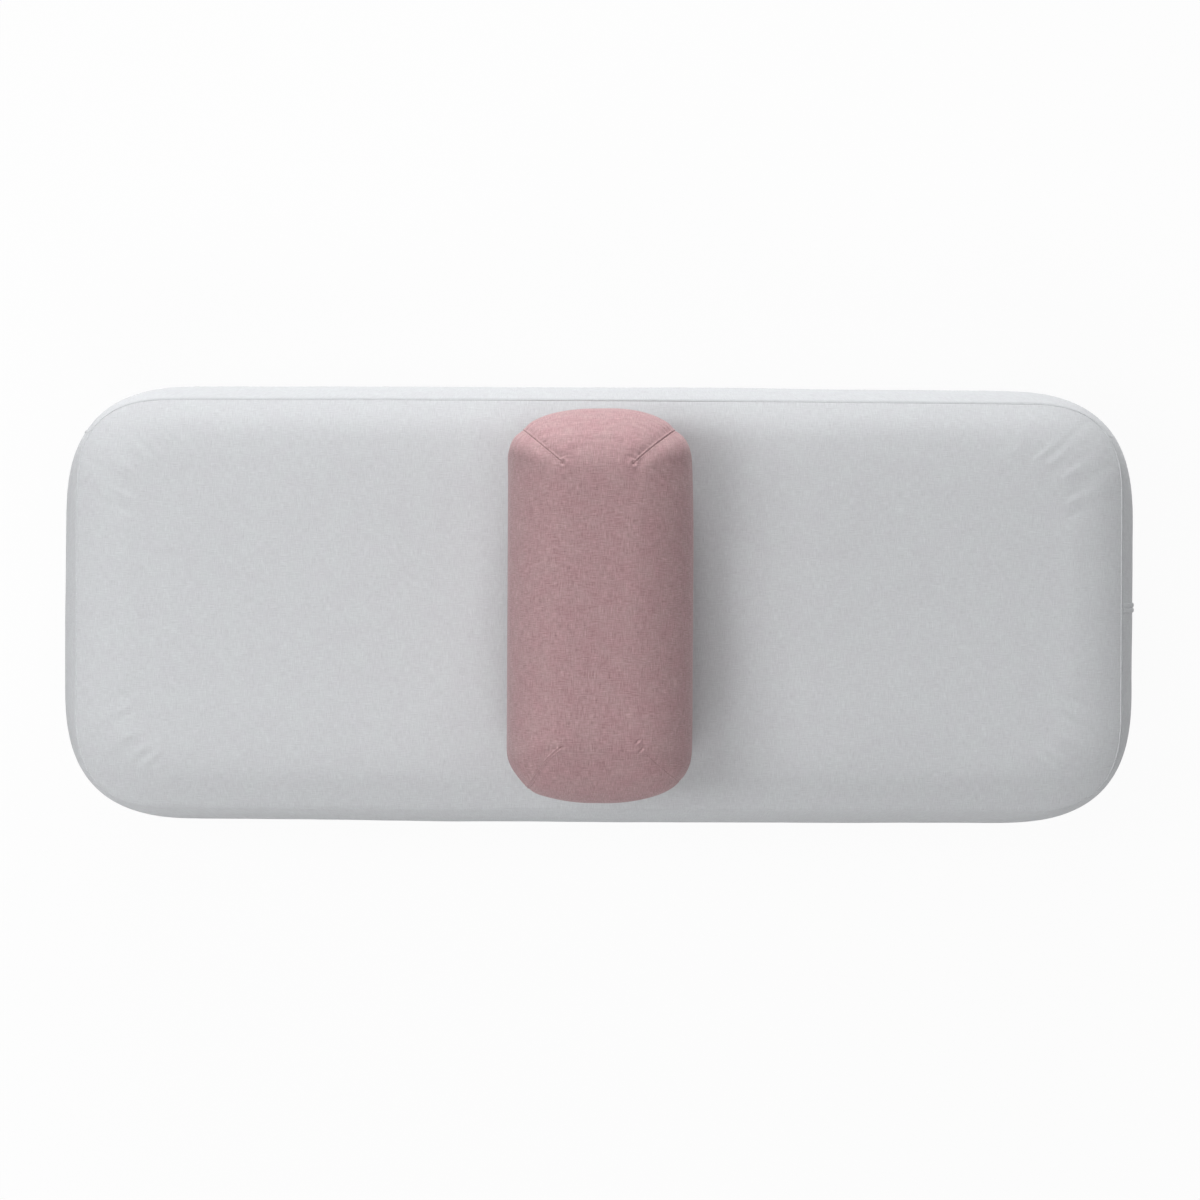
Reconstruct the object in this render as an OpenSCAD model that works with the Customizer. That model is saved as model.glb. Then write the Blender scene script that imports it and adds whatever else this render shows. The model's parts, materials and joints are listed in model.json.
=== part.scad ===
// Backless divan: a long upholstered seat on a timber frame, with a loose block bolster
// that stands across its middle. Millimetres, Z up, X along the length, +Y to the back.
// The origin is on the floor, under the middle of the seat.

/* [Seat outline] */
// Overall length of the seat
seat_length = 2000; // [1900:10:2200]
// Overall depth of the seat, at the middle of its bowed sides
seat_depth = 816; // [800:2:880]
// How far each long side bows out at its middle
side_bow = 4; // [1:1:8]
// Length of each plan corner's curve along both sides
corner_extent = 264; // [250:2:280]
// Squareness of the plan corners, where 2 is round
corner_power = 2.75; // [2.2:0.05:3.5]
// Length of the corner curve on the seam ridge, which turns more sharply
ridge_corner_extent = 200; // [180:5:230]
// Length of the corner curve where the top panel's rounded edge ends
edge_corner_extent = 125; // [110:5:140]
// Length of the corner curve on the flat middle of the top
flat_corner_extent = 60; // [40:5:80]

/* [Seat section] */
// Height of the seat's flat middle above the floor
seat_height = 420; // [410:2:450]
// Rise of the top panel, from the seam ridge on the band to the flat middle
top_rise = 38; // [30:1:50]
// Height at which the band is widest
widest_height = 260; // [220:5:270]
// Height of the hem that is folded under the frame
hem_height = 74; // [70:1:90]
// How far the seam ridge lies inside the widest line
ridge_inset = 31; // [26:1:36]
// How much farther the section runs inwards at the ends than at the long sides
end_run_share = 1.2; // [1:0.05:1.3]
// How far the band draws in at its foot
foot_inset = 14; // [8:1:16]
// Radius of the fold at the band's foot
foot_fold = 10; // [8:1:12]
// How far the hem reaches under the frame
hem_reach = 50; // [30:5:60]
// Run of the top panel's rounded edge
edge_run = 100; // [85:1:110]
// Rise of the crown, from the seam ridge to the flat middle
crown_rise = 10; // [3:1:14]
// Run of the crown past the rounded edge
crown_run = 105; // [90:5:120]
// Thickness of the woven cover
cover_t = 1.5; // [1:0.1:2]
// Thickness of the wadding under the cover
wadding_t = 10; // [8:1:14]
// Radius of the sewn ridge
ridge_radius = 2.2; // [1.8:0.1:2.6]
// Width of each lip of the closing seam at the right end
lip_width = 9; // [6:0.5:12]
// How far the lips stand out at the widest line
lip_height = 5; // [3:0.5:7]

/* [Frame] */
// Distance from the band's widest line to the outer face of the rails
frame_inset = 46; // [44:1:52]
// Thickness of the four rails
rail_t = 24; // [20:1:30]
// Height of the frame's top above the floor
frame_top = 275; // [260:1:285]
// Thickness of the bent corner boards
corner_board_t = 12; // [9:1:15]
// Height of the corner braces and of the flat cross rail
brace_h = 45; // [40:1:60]
// Length of a corner brace's end along a rail
brace_end = 80; // [70:5:100]
// Width of the flat cross rail in the middle
centre_rail_w = 90; // [80:5:120]
// Thickness of the two cross rails that stand on edge
cross_rail_t = 22; // [18:1:28]
// Height of the two cross rails that stand on edge
cross_rail_h = 120; // [100:5:140]
// Distance of those cross rails from the middle
cross_rail_x = 368; // [300:4:420]
// Thickness of the dust cover under the frame
dust_cover_t = 0.8; // [0.5:0.1:1.5]

/* [Webbing] */
// Width of a strap
strap_w = 50; // [40:5:60]
// Thickness of a strap
strap_t = 1.6; // [1.2:0.1:2]
// Distance between the straps that run across
cross_strap_pitch = 110; // [100:2:112]
// Number of straps that run across, an odd number
cross_strap_count = 13; // [9:2:13]
// Distance between the straps that run along
long_strap_pitch = 130; // [110:2:140]
// Number of straps that run along
long_strap_count = 4; // [3:1:4]

/* [Feet] */
// Diameter of a foot at its top
foot_top_d = 64; // [56:1:72]
// Diameter of a foot at its bottom
foot_low_d = 44; // [40:1:52]
// Diameter of a glide
glide_d = 36; // [30:1:38]
// Thickness of a glide
glide_t = 6; // [4:0.5:8]
// Diameter of a foot's stud
stud_d = 8; // [6:1:10]
// Depth of a stud in its foot
stud_depth = 35; // [25:1:40]
// Diameter of a tee nut's barrel
tee_barrel_d = 10.5; // [10.5:0.1:12]
// Length of a tee nut's barrel
tee_barrel_h = 12; // [9:1:15]
// Diameter of a tee nut's flange
tee_flange_d = 24; // [20:1:28]
// Thickness of a tee nut's flange
tee_flange_t = 1.6; // [1.2:0.1:2]

/* [Bolster] */
// Width of the bolster, along the seat's length
bolster_width = 332; // [310:2:360]
// Depth of the bolster, from the seat's front to its back
bolster_depth = 705; // [690:5:720]
// Height of the bolster
bolster_height = 280; // [270:2:320]
// Length of the outline's corner curve along the short ends
bolster_end_extent = 156; // [140:2:156]
// Length of the outline's corner curve along the long sides
bolster_side_extent = 90; // [80:2:100]
// Length of the corner curve on the flat top
bolster_top_extent = 12; // [8:1:16]
// Squareness of the bolster's corners, where 2 is round
bolster_power = 2.1; // [2:0.05:2.5]
// Run of the rounding between the sides and the flat top
bolster_top_run = 118; // [110:1:122]
// Run of the corner darts, on which the outline's corners turn into the top's
bolster_dart_run = 101; // [95:1:105]
// Height of the straight part of the sides above the seat
bolster_side_top = 150; // [140:2:160]
// Rise of the top's crown
bolster_crown = 6; // [2:0.5:8]
// Run of the crown past the rounding
bolster_crown_run = 21; // [16:1:26]
// Inset of the base seam from the outline
base_inset = 62; // [58:1:66]
// How deep the corner darts draw the cover in
dart_depth = 3.5; // [2:0.5:5]

/* [Zip] */
// Distance from the bolster's ends to the zip's opening in the cover
zip_end_room = 122.5; // [112:0.5:152]
// Width of that opening
zip_gap = 11; // [10:0.5:12]
// Width of one tape
tape_w = 12; // [10:0.5:13]
// Thickness of the tape
tape_t = 0.6; // [0.4:0.1:0.8]
// Width of one coil
coil_w = 2.1; // [1.8:0.1:2.3]
// Height of the coils
coil_h = 1.8; // [1.5:0.1:2]
// Clear width between the two coils, for the slider's neck
coil_gap = 1.6; // [1.5:0.1:2]
// Length of the slider
slider_l = 10; // [8:0.5:12]
// Width of the slider
slider_w = 9.4; // [9.2:0.1:9.6]
// Thickness of the slider's two plates
slider_t = 1; // [0.8:0.1:1.2]
// Length of the pull tab from its pin
tab_l = 22; // [16:1:26]
// Width of the pull tab
tab_w = 6; // [5:0.5:7]
// Thickness of the pull tab
tab_t = 0.9; // [0.7:0.1:1.2]

/* [Hidden] */
$fn = 48;
// Clearance between soft pieces that lie on each other
gap = 0.3;
// Radial clearance of a shaft in its bore
fit = 0.05;
// How far a cut runs past the solid
over = 1;

// Seat outline: half sizes, and where the straight sides end
half_l = seat_length / 2;
half_d = seat_depth / 2 - side_bow;
straight_x = half_l - corner_extent;
straight_y = half_d - corner_extent;

// Heights of the base, from the dust cover up, and of the seam ridge
frame_base = hem_height + cover_t + gap;
web_low = frame_top;
web_high = frame_top + strap_t + gap;
foam_base = web_high + strap_t + gap;
foot_top = hem_height - dust_cover_t;
brace_top = frame_base + brace_h;
ridge_height = seat_height - top_rise;

// Run of a strap's slope beside a crossing, in strap thicknesses
strap_slope_share = 4;

// Depths under the cover's outer face
wadding_out = cover_t + gap;
wadding_in = wadding_out + wadding_t;
core_out = wadding_in + gap;

// Rails
rail_face_x = half_l - frame_inset;
rail_face_y = half_d - frame_inset;
rail_in_x = rail_face_x - rail_t;
rail_in_y = rail_face_y - rail_t;
frame_h = frame_top - frame_base;

// Feet: one under each corner brace and two under the flat cross rail
foot_x = (2 * straight_x - brace_end + 2 * rail_in_x) / 4;
foot_y = (2 * rail_in_y + 2 * straight_y - brace_end) / 4;
foot_places = [
    [foot_x, foot_y], [-foot_x, foot_y], [-foot_x, -foot_y],
    [foot_x, -foot_y], [0, foot_y], [0, -foot_y]
];
foot_names = ["back_right", "back_left", "front_left", "front_right", "back_middle", "front_middle"];
foot_edge = 3;
glide_pin_d = 4;
glide_pin_h = 12;

// Screws through the long rails into the ends of the cross rails
screw_d = 5;
screw_head_d = 9;
screw_head_h = 4;
screw_length = 66;
screw_low_height = 30;
screw_high_height = 90;
screw_side = 25;
screw_places = [
    [-cross_rail_x, screw_low_height], [-cross_rail_x, screw_high_height],
    [cross_rail_x, screw_low_height], [cross_rail_x, screw_high_height],
    [-screw_side, brace_h / 2], [screw_side, brace_h / 2]
];

// Counts of facets along the curves
corner_steps = 8;
edge_steps = 5;
crown_steps = 3;
band_steps = 3;
core_edge_steps = 3;
core_band_steps = 2;
ridge_sides = 6;
bolster_steps = 5;
bolster_core_steps = 3;
lip_sides = 5;

// Shape of the curves: powers of the band's bulge above its widest line and of the top
// panel's edge
bulge_power = 2.4;
edge_power = 3;
// How far the closing seam's lips stand out at their ends, of their full height
lip_end_share = 0.2;
// Angles of the points round a bolster corner, with the dart on the fourth
dart_angle_shares = [0, 0.12, 0.245, 0.37, 0.5, 0.62, 0.74, 0.87, 1];
dart_point = 3;
// Where a bolster ring's last point on its straight side lies, unless the zip ends there
side_point_share = 0.96;

// Bolster: half sizes and the heights of its section above its base
bolster_half_w = bolster_width / 2;
bolster_half_d = bolster_depth / 2;
bolster_base = seat_height + gap;
zip_length = bolster_depth - 2 * zip_end_room;
zip_half = zip_length / 2;
zip_low_inset = 34;
zip_low_height = 15;
zip_high_inset = 8;
zip_high_height = 50;
zip_strip = norm([zip_low_inset - zip_high_inset, zip_high_height - zip_low_height]);
zip_up = [zip_high_inset - zip_low_inset, zip_high_height - zip_low_height] / zip_strip;
zip_mid = [(zip_low_inset + zip_high_inset) / 2, (zip_low_height + zip_high_height) / 2];
zip_tilt = 90 + atan2(zip_low_inset - zip_high_inset, zip_high_height - zip_low_height);
zip_room = 3;
base_roll_inset = 48;
base_roll_height = 5;
side_low_height = 108;
bolster_crown_inset = bolster_top_run + bolster_crown_run;

// Zip: places across and through the tape, in the zip's own frame
coil_in = coil_gap / 2;
tape_top = -cover_t;
coil_top = tape_top + coil_h;
zip_play = 0.3;
slider_top = coil_top + zip_play + slider_t;
slider_low = tape_top - tape_t - zip_play;
neck_w = 1;
flange_w = 1.4;
pin_r = 0.6;
hub_r = 1.3;
ear_t = 1.2;
pin_z = slider_top + hub_r + zip_play;
hub_w = 3.6;
tab_neck_w = tab_w - slider_t;
slot_start_share = 1.6;
stop_l = 3;
slider_rest = zip_half - stop_l - slider_l - zip_play;

// Curves in plan

// Point on a superellipse corner: how far along each axis, as shares of its extents
function corner_share(angle, power) = [pow(cos(angle), 2 / power), pow(sin(angle), 2 / power)];

// A ring from its first quadrant, which runs from the +X axis to the +Y axis
function full_ring(quarter, on_y) =
    let (last = len(quarter) - 1, top = on_y ? last - 1 : last)
    concat(
        quarter,
        [for (i = [top : -1 : 0]) [-quarter[i].x, quarter[i].y]],
        [for (i = [1 : last]) [-quarter[i].x, -quarter[i].y]],
        [for (i = [top : -1 : 1]) [quarter[i].x, -quarter[i].y]]
    );

// Rounded rectangle of the seat at an inset, its long sides in three parts each way
function seat_ring(inset, extent, end_inset) =
    let (x = half_l - end_inset, y = half_d - inset)
    full_ring(concat(
        [[x, 0]],
        [for (i = [0 : corner_steps])
            let (s = corner_share(90 * i / corner_steps, corner_power))
            [x - extent + extent * s.x, y - extent + extent * s.y]],
        [for (part = [2, 1, 0]) [(x - extent) * part / 3, y]]
    ), true);

// The frame's family of rings keeps the corner's centre, so its straight parts end together
function core_ring(inset) = seat_ring(inset, corner_extent - inset, inset);

// The cover's family turns more sharply towards the top, and bows out at the long sides
function cover_extent(inset) = lookup(inset, [
    [0, corner_extent],
    [ridge_inset, ridge_corner_extent],
    [ridge_inset + edge_run, edge_corner_extent],
    [ridge_inset + edge_run + crown_run, flat_corner_extent]
]);
function bowed(p) = [p.x, p.y * (1 + side_bow / half_d * (1 - pow(p.x / half_l, 2)))];
function end_inset(inset) = inset * (inset > 0 ? end_run_share : 1);
function cover_ring(inset) = [
    for (p = seat_ring(inset, cover_extent(inset), end_inset(inset))) bowed(p)
];

// The bolster's rings go from a bowed outline to a flat top with sharp corners
function drawn_in(p, depth) = [p.x - sign(p.x) * depth, p.y - sign(p.y) * depth];
function bolster_ring(inset, dart) =
    let (
        x = bolster_half_w - inset,
        y = bolster_half_d - inset,
        part = min(1, max(0, inset) / bolster_dart_run),
        end_extent = bolster_end_extent + (bolster_top_extent - bolster_end_extent) * part,
        side_extent = bolster_side_extent + (bolster_top_extent - bolster_side_extent) * part
    )
    full_ring(concat(
        [[x, 0], [x, min(zip_half, (y - side_extent) * side_point_share)]],
        [for (i = [0 : corner_steps])
            let (
                s = corner_share(90 * dart_angle_shares[i], bolster_power),
                p = [x - end_extent + end_extent * s.x, y - side_extent + side_extent * s.y]
            )
            i == dart_point ? drawn_in(p, dart) : p]
    ), false);

// Curves in section: points are [inset, height], from the foot up and over to the middle

function band_curve(steps) = concat(
    [for (i = [0 : steps - 1])
        let (t = i / steps, foot = hem_height + foot_fold)
        [foot_inset * pow(1 - t, 2), foot + t * (widest_height - foot)]],
    [for (i = [0 : steps])
        let (t = i / steps)
        [ridge_inset * pow(t, bulge_power), widest_height + t * (ridge_height - widest_height)]]
);
function top_point(run) = [
    ridge_inset + run,
    ridge_height
        + (top_rise - crown_rise) * (1 - pow(1 - min(1, run / edge_run), edge_power))
        + crown_rise * (1 - pow(1 - run / (edge_run + crown_run), 2))
];
function edge_curve(steps) = [for (i = [1 : steps]) top_point(edge_run * i / steps)];
function crown_curve(steps) = [for (i = [1 : steps]) top_point(edge_run + crown_run * i / steps)];
function seat_curve(band, edge, crown) = concat(band_curve(band), edge_curve(edge), crown_curve(crown));

// Section of the bolster above its base, with the zip's flat strip low on the sides
function bolster_curve(steps, strip) = concat(
    [[base_inset, 0], [base_roll_inset, base_roll_height], [zip_low_inset, zip_low_height]],
    strip,
    [[zip_high_inset, zip_high_height], [0, side_low_height]],
    [for (i = [0 : steps])
        let (angle = 90 * i / steps, run = bolster_top_run * (1 - cos(angle)))
        [
            run,
            bolster_side_top + (bolster_height - bolster_crown - bolster_side_top) * sin(angle)
                + bolster_crown * (1 - pow(1 - run / bolster_crown_inset, 2))
        ]],
    [[bolster_crown_inset, bolster_height]]
);
zip_edges = [zip_mid - zip_up * zip_gap / 2, zip_mid + zip_up * zip_gap / 2];
zip_place = 3;

// A section curve moved inwards by a depth, or by one depth for each point
function unit(v) = v / norm(v);
function side_normal(a, b) = let (d = unit(b - a)) [d.y, -d.x];
function depth_at(depth, i) = is_list(depth) ? depth[i] : depth;
function moved_in(curve, depth) = [
    for (i = [0 : len(curve) - 1])
        let (
            before = side_normal(curve[max(i - 1, 0)], curve[max(i, 1)]),
            after = side_normal(
                curve[min(i, len(curve) - 2)], curve[min(i + 1, len(curve) - 1)]
            ),
            mean = unit(before + after)
        )
        curve[i] + mean * depth_at(depth, i) / (mean * before)
];

// A curve's part between two of its points, and a curve run backwards
function part_of(curve, first, last) = [for (i = [first : last]) curve[i]];
function backwards(curve) = [for (i = [len(curve) - 1 : -1 : 0]) curve[i]];
function toward(a, b, distance) = a + unit(b - a) * distance;

// Rings in space
function at_height(ring, z) = [for (p = ring) [p.x, p.y, z]];
function cover_rings(curve) = [for (p = curve) at_height(cover_ring(p[0]), p[1])];
function core_rings(curve) = [for (p = curve) at_height(core_ring(p[0]), p[1])];
function bolster_rings(curve, dart) = [
    for (p = curve) at_height(bolster_ring(p[0], dart), bolster_base + p[1])
];
// The same points taken the other way: one closed section at each place along the rings
function sections(rings, places) = [
    for (i = places) [for (ring = rings) ring[i % len(ring)]]
];

// Solids

// Two triangles over four points in turn, split along the shorter diagonal, so that the inner
// and outer faces of a thin shell split alike
function quad_faces(points, a, b, c, d) =
    norm(points[a] - points[c]) <= norm(points[b] - points[d])
        ? [[a, b, c], [a, c, d]]
        : [[a, b, d], [b, c, d]];

// Solid through rings, closed over the first and the last by triangles round their middles
function middle(ring) = [for (p = ring) 1] * ring / len(ring);
module skin(rings, open_quads = [], more_quads = []) {
    n = len(rings[0]);
    last = len(rings) - 1;
    points = concat([for (ring = rings) each ring], [middle(rings[0]), middle(rings[last])]);
    first_middle = len(points) - 2;
    last_middle = len(points) - 1;
    quads = concat(
        [for (j = [0 : last - 1]) for (i = [0 : n - 1])
            let (next = (i + 1) % n)
            if (len([for (q = open_quads) if (q == [j, i]) q]) == 0)
                [j * n + i, j * n + n + i, j * n + n + next, j * n + next]],
        more_quads
    );
    polyhedron(
        points = points,
        faces = concat(
            [for (i = [0 : n - 1]) [first_middle, i, (i + 1) % n]],
            [for (q = quads) each quad_faces(points, q[0], q[1], q[2], q[3])],
            [for (i = [0 : n - 1]) [last_middle, last * n + (i + 1) % n, last * n + i]]
        )
    );
}

// Ring-shaped solid whose section is closed and whose ends meet
module hoop(rings) {
    n = len(rings[0]);
    m = len(rings);
    points = [for (ring = rings) each ring];
    polyhedron(
        points = points,
        faces = [for (j = [0 : m - 1]) for (i = [0 : n - 1])
            let (up = (j + 1) % m, next = (i + 1) % n)
            each quad_faces(points, j * n + i, up * n + i, up * n + next, j * n + next)]
    );
}

// Cap-shaped shell: out along the inner curve's rings, and back over the outer ones
module shell(inner_rings, outer_rings) skin(concat(backwards(inner_rings), outer_rings));

// Wall of the frame's family that follows the outline from place to place
module wall(section, places) skin(sections(core_rings(section), places));

// Places and mirror images
module in_corner(k) {
    mirror([k == 1 || k == 2 ? 1 : 0, 0, 0])
        mirror([0, k == 2 || k == 3 ? 1 : 0, 0])
            children();
}
module at_feet() for (place = foot_places) translate(place) children();
// Along a screw's axis, from its head inwards, at the back rail and mirrored to the front
module at_screws() {
    for (place = screw_places)
        translate([place.x, rail_face_y, frame_base + place.y])
            rotate([90, 0, 0])
                children();
}

// Cover of the seat

fine_curve = seat_curve(band_steps, edge_steps, crown_steps);
coarse_curve = seat_curve(core_band_steps, core_edge_steps, 1);
ridge_place = 2 * band_steps;
ridge_point = [ridge_inset, ridge_height];
seam_trim = ridge_radius + gap;

module seat_top_panel() {
    curve = concat(
        [toward(ridge_point, fine_curve[ridge_place + 1], seam_trim)],
        part_of(fine_curve, ridge_place + 1, len(fine_curve) - 1)
    );
    color([0.82, 0.82, 0.83])
        shell(cover_rings(moved_in(curve, cover_t)), cover_rings(curve));
}

function band_outer() =
    let (
        low = [foot_inset, hem_height + foot_fold],
        fold = [for (angle = [0, 45])
            [low.x + foot_fold * (1 - sin(angle)), low.y - foot_fold * cos(angle)]]
    )
    concat(
        [[foot_inset + foot_fold + hem_reach, hem_height]],
        fold,
        part_of(fine_curve, 0, ridge_place - 1),
        [toward(ridge_point, fine_curve[ridge_place - 1], seam_trim)]
    );

module seat_band() {
    curve = band_outer();
    color([0.78, 0.79, 0.8])
        hoop(concat(cover_rings(curve), backwards(cover_rings(moved_in(curve, cover_t)))));
}

module seat_seam_ridge() {
    out = -unit(side_normal(fine_curve[ridge_place - 1], ridge_point)
        + side_normal(ridge_point, fine_curve[ridge_place + 1]));
    centre = ridge_point + out * (ridge_radius - cover_t);
    color([0.76, 0.77, 0.78])
        hoop([for (i = [0 : ridge_sides - 1])
            let (angle = 360 * i / ridge_sides)
            at_height(
                cover_ring(centre[0] + ridge_radius * cos(angle)),
                centre[1] - ridge_radius * sin(angle)
            )]);
}

// One lip of the closing seam, which swells to its full height at the widest line
module seam_lip(y) {
    curve = part_of(band_outer(), 2, ridge_place + 3);
    raised = moved_in(curve, -lip_height);
    count = len(curve) - 1;
    skin([for (k = [0 : count])
        let (swell = lip_end_share + (1 - lip_end_share) * pow(sin(180 * k / count), 2))
        [for (i = [0 : lip_sides])
            let (
                angle = 180 - 180 * i / lip_sides,
                p = curve[k] + (raised[k] - curve[k]) * swell * sin(angle)
            )
            [half_l - end_inset(p[0]), y - lip_width / 2 * -cos(angle), p[1]]]]);
}

module end_closing_seam() {
    color([0.8, 0.8, 0.81])
        for (side = [-1, 1])
            seam_lip(side * (lip_width + gap) / 2);
}

// Filling of the seat

module seat_wadding() {
    color([0.95, 0.95, 0.93])
        shell(
            core_rings(moved_in(coarse_curve, wadding_in)),
            cover_rings(moved_in(fine_curve, wadding_out))
        );
}

// Outer face of the pads and the foam, and where the foam takes over from the pads
core_curve = moved_in(coarse_curve, core_out);
function inset_at(z) = lookup(z, [for (p = core_curve) [p[1], p[0]]]);

module seat_foam() {
    above = [for (p = core_curve) if (p[1] > foam_base + over) p];
    color([0.93, 0.88, 0.62])
        skin(core_rings(concat([[inset_at(foam_base), foam_base]], above)));
}

pad_top = foam_base - gap;
pad_section = concat(
    [[frame_inset - gap, frame_base], [frame_inset - gap, pad_top]],
    [[inset_at(pad_top), pad_top]],
    backwards([for (p = core_curve) if (p[1] > frame_base + over && p[1] < pad_top - over) p]),
    [[end_inset(inset_at(frame_base)), frame_base]]
);
right_places = [6 * corner_steps - 1, 6 * corner_steps + 1];

module end_pad() color([0.93, 0.88, 0.62]) wall(pad_section, right_places);
module long_pad() {
    color([0.93, 0.88, 0.62])
        wall(pad_section, [corner_steps + 1, corner_steps + 7]);
}
module corner_pad() {
    color([0.9, 0.84, 0.58])
        wall(pad_section, [for (i = [1 : corner_steps + 1]) i]);
}

// Webbing: straps that pass over and under each other

// Side view of a strap that is high or low at each crossing
module strap_profile(crossings, levels, other_w, reach) {
    flat = other_w / 2 + strap_t * strap_slope_share;
    low = [for (i = [0 : len(crossings) - 1]) for (side = [-1, 1])
        [crossings[i] + side * flat, levels[i]]];
    line = concat([[-reach, web_low]], low, [[reach, web_low]]);
    polygon(concat(line, backwards([for (p = line) [p.x, p.y + strap_t]])));
}

half_count = (cross_strap_count - 1) / 2;
cross_straps = [for (i = [-half_count : half_count]) i * cross_strap_pitch];
long_straps = [for (i = [0 : long_strap_count - 1]) (i - (long_strap_count - 1) / 2) * long_strap_pitch];
function crossing_level(i, j, first) = (i + j + first) % 2 == 0 ? web_high : web_low;

module cross_webbing() {
    color([0.2, 0.2, 0.22])
        for (i = [0 : len(cross_straps) - 1])
            translate([cross_straps[i] - strap_w / 2, 0, 0])
                rotate([90, 0, 90])
                    linear_extrude(strap_w)
                        strap_profile(
                            long_straps,
                            [for (j = [0 : len(long_straps) - 1]) crossing_level(i, j, 0)],
                            strap_w,
                            rail_face_y - gap
                        );
}

module long_webbing() {
    color([0.3, 0.3, 0.32])
        for (j = [0 : len(long_straps) - 1])
            translate([0, long_straps[j] + strap_w / 2, 0])
                rotate([90, 0, 0])
                    linear_extrude(strap_w)
                        strap_profile(
                            cross_straps,
                            [for (i = [0 : len(cross_straps) - 1]) crossing_level(i, j, 1)],
                            strap_w,
                            rail_face_x - corner_board_t / 2
                        );
}

// Frame

module long_rail() {
    color([0.85, 0.7, 0.5])
        difference() {
            translate([-straight_x, rail_in_y, frame_base])
                cube([2 * straight_x, rail_t, frame_h]);
            at_screws() {
                translate([0, 0, -over])
                    cylinder(d = screw_d + 2 * fit, h = rail_t + 2 * over);
                translate([0, 0, -over])
                    cylinder(d = screw_head_d + 2 * fit, h = screw_head_h + over);
            }
        }
}

module end_rail() {
    color([0.85, 0.7, 0.5])
        translate([rail_in_x, -straight_y, frame_base])
            cube([rail_t, 2 * straight_y, frame_h]);
}

module corner_board() {
    inner = frame_inset + corner_board_t;
    section = [
        [frame_inset, frame_base], [inner, frame_base], [inner, frame_top], [frame_inset, frame_top]
    ];
    color([0.78, 0.62, 0.42])
        wall(section, [for (i = [1 : corner_steps + 1]) i]);
}

// Bore through a brace for a foot's stud, with the tee nut's barrel in its upper part
module foot_bore() {
    translate([0, 0, frame_base - over])
        cylinder(d = stud_d + 2 * fit, h = brace_h + 2 * over);
    translate([0, 0, brace_top - tee_barrel_h])
        cylinder(d = tee_barrel_d + 2 * fit, h = tee_barrel_h + over);
}

module corner_brace() {
    color([0.8, 0.66, 0.46])
        difference() {
            translate([0, 0, frame_base])
                linear_extrude(brace_h)
                    polygon([
                        [straight_x - brace_end, rail_in_y], [rail_in_x, straight_y - brace_end],
                        [rail_in_x, straight_y], [straight_x, rail_in_y]
                    ]);
            translate([foot_x, foot_y, 0])
                foot_bore();
        }
}

module centre_cross_rail() {
    color([0.85, 0.7, 0.5])
        difference() {
            translate([-centre_rail_w / 2, -rail_in_y, frame_base])
                cube([centre_rail_w, 2 * rail_in_y, brace_h]);
            for (side = [-1, 1])
                translate([0, side * foot_y, 0])
                    foot_bore();
            screw_bores();
        }
}

module screw_bores() {
    for (turn = [0, 1])
        mirror([0, turn, 0])
            at_screws()
                cylinder(d = screw_d + 2 * fit, h = screw_length + over);
}

module cross_rail() {
    color([0.85, 0.7, 0.5])
        difference() {
            translate([cross_rail_x - cross_rail_t / 2, -rail_in_y, frame_base])
                cube([cross_rail_t, 2 * rail_in_y, cross_rail_h]);
            screw_bores();
        }
}

module frame_screws() {
    color([0.75, 0.72, 0.6])
        for (turn = [0, 1])
            mirror([0, turn, 0])
                at_screws() {
                    cylinder(d = screw_d, h = screw_length);
                    cylinder(d = screw_head_d, h = screw_head_h);
                }
}

module dust_cover() {
    color([0.12, 0.12, 0.13])
        translate([0, 0, hem_height - dust_cover_t])
            linear_extrude(dust_cover_t)
                difference() {
                    polygon(core_ring(frame_inset));
                    for (place = foot_places)
                        translate(place)
                            circle(d = stud_d + 2 * fit);
                }
}

// Feet

module foot(k) {
    color([0.72, 0.55, 0.36])
        translate(foot_places[k])
            rotate_extrude()
                polygon([
                    [glide_pin_d / 2 + fit, glide_t],
                    [foot_low_d / 2 - foot_edge, glide_t],
                    [foot_low_d / 2, glide_t + foot_edge],
                    [foot_top_d / 2, foot_top - foot_edge],
                    [foot_top_d / 2 - foot_edge, foot_top],
                    [stud_d / 2 + fit, foot_top],
                    [stud_d / 2 + fit, foot_top - stud_depth],
                    [0, foot_top - stud_depth],
                    [0, glide_t + glide_pin_h],
                    [glide_pin_d / 2 + fit, glide_t + glide_pin_h]
                ]);
}

module glide(k) {
    color([0.25, 0.25, 0.26])
        translate(foot_places[k]) {
            cylinder(d = glide_d, h = glide_t);
            cylinder(d = glide_pin_d, h = glide_t + glide_pin_h);
        }
}

module foot_studs() {
    color([0.7, 0.7, 0.72])
        at_feet()
            translate([0, 0, foot_top - stud_depth])
                cylinder(d = stud_d, h = stud_depth + dust_cover_t + cover_t + gap + brace_h);
}

module tee_nuts() {
    color([0.7, 0.7, 0.72])
        at_feet()
            difference() {
                union() {
                    translate([0, 0, brace_top - tee_barrel_h])
                        cylinder(d = tee_barrel_d, h = tee_barrel_h);
                    translate([0, 0, brace_top])
                        cylinder(d = tee_flange_d, h = tee_flange_t);
                }
                translate([0, 0, brace_top - tee_barrel_h - over])
                    cylinder(d = stud_d + 2 * fit, h = tee_barrel_h + tee_flange_t + 2 * over);
            }
}

// Bolster

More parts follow.
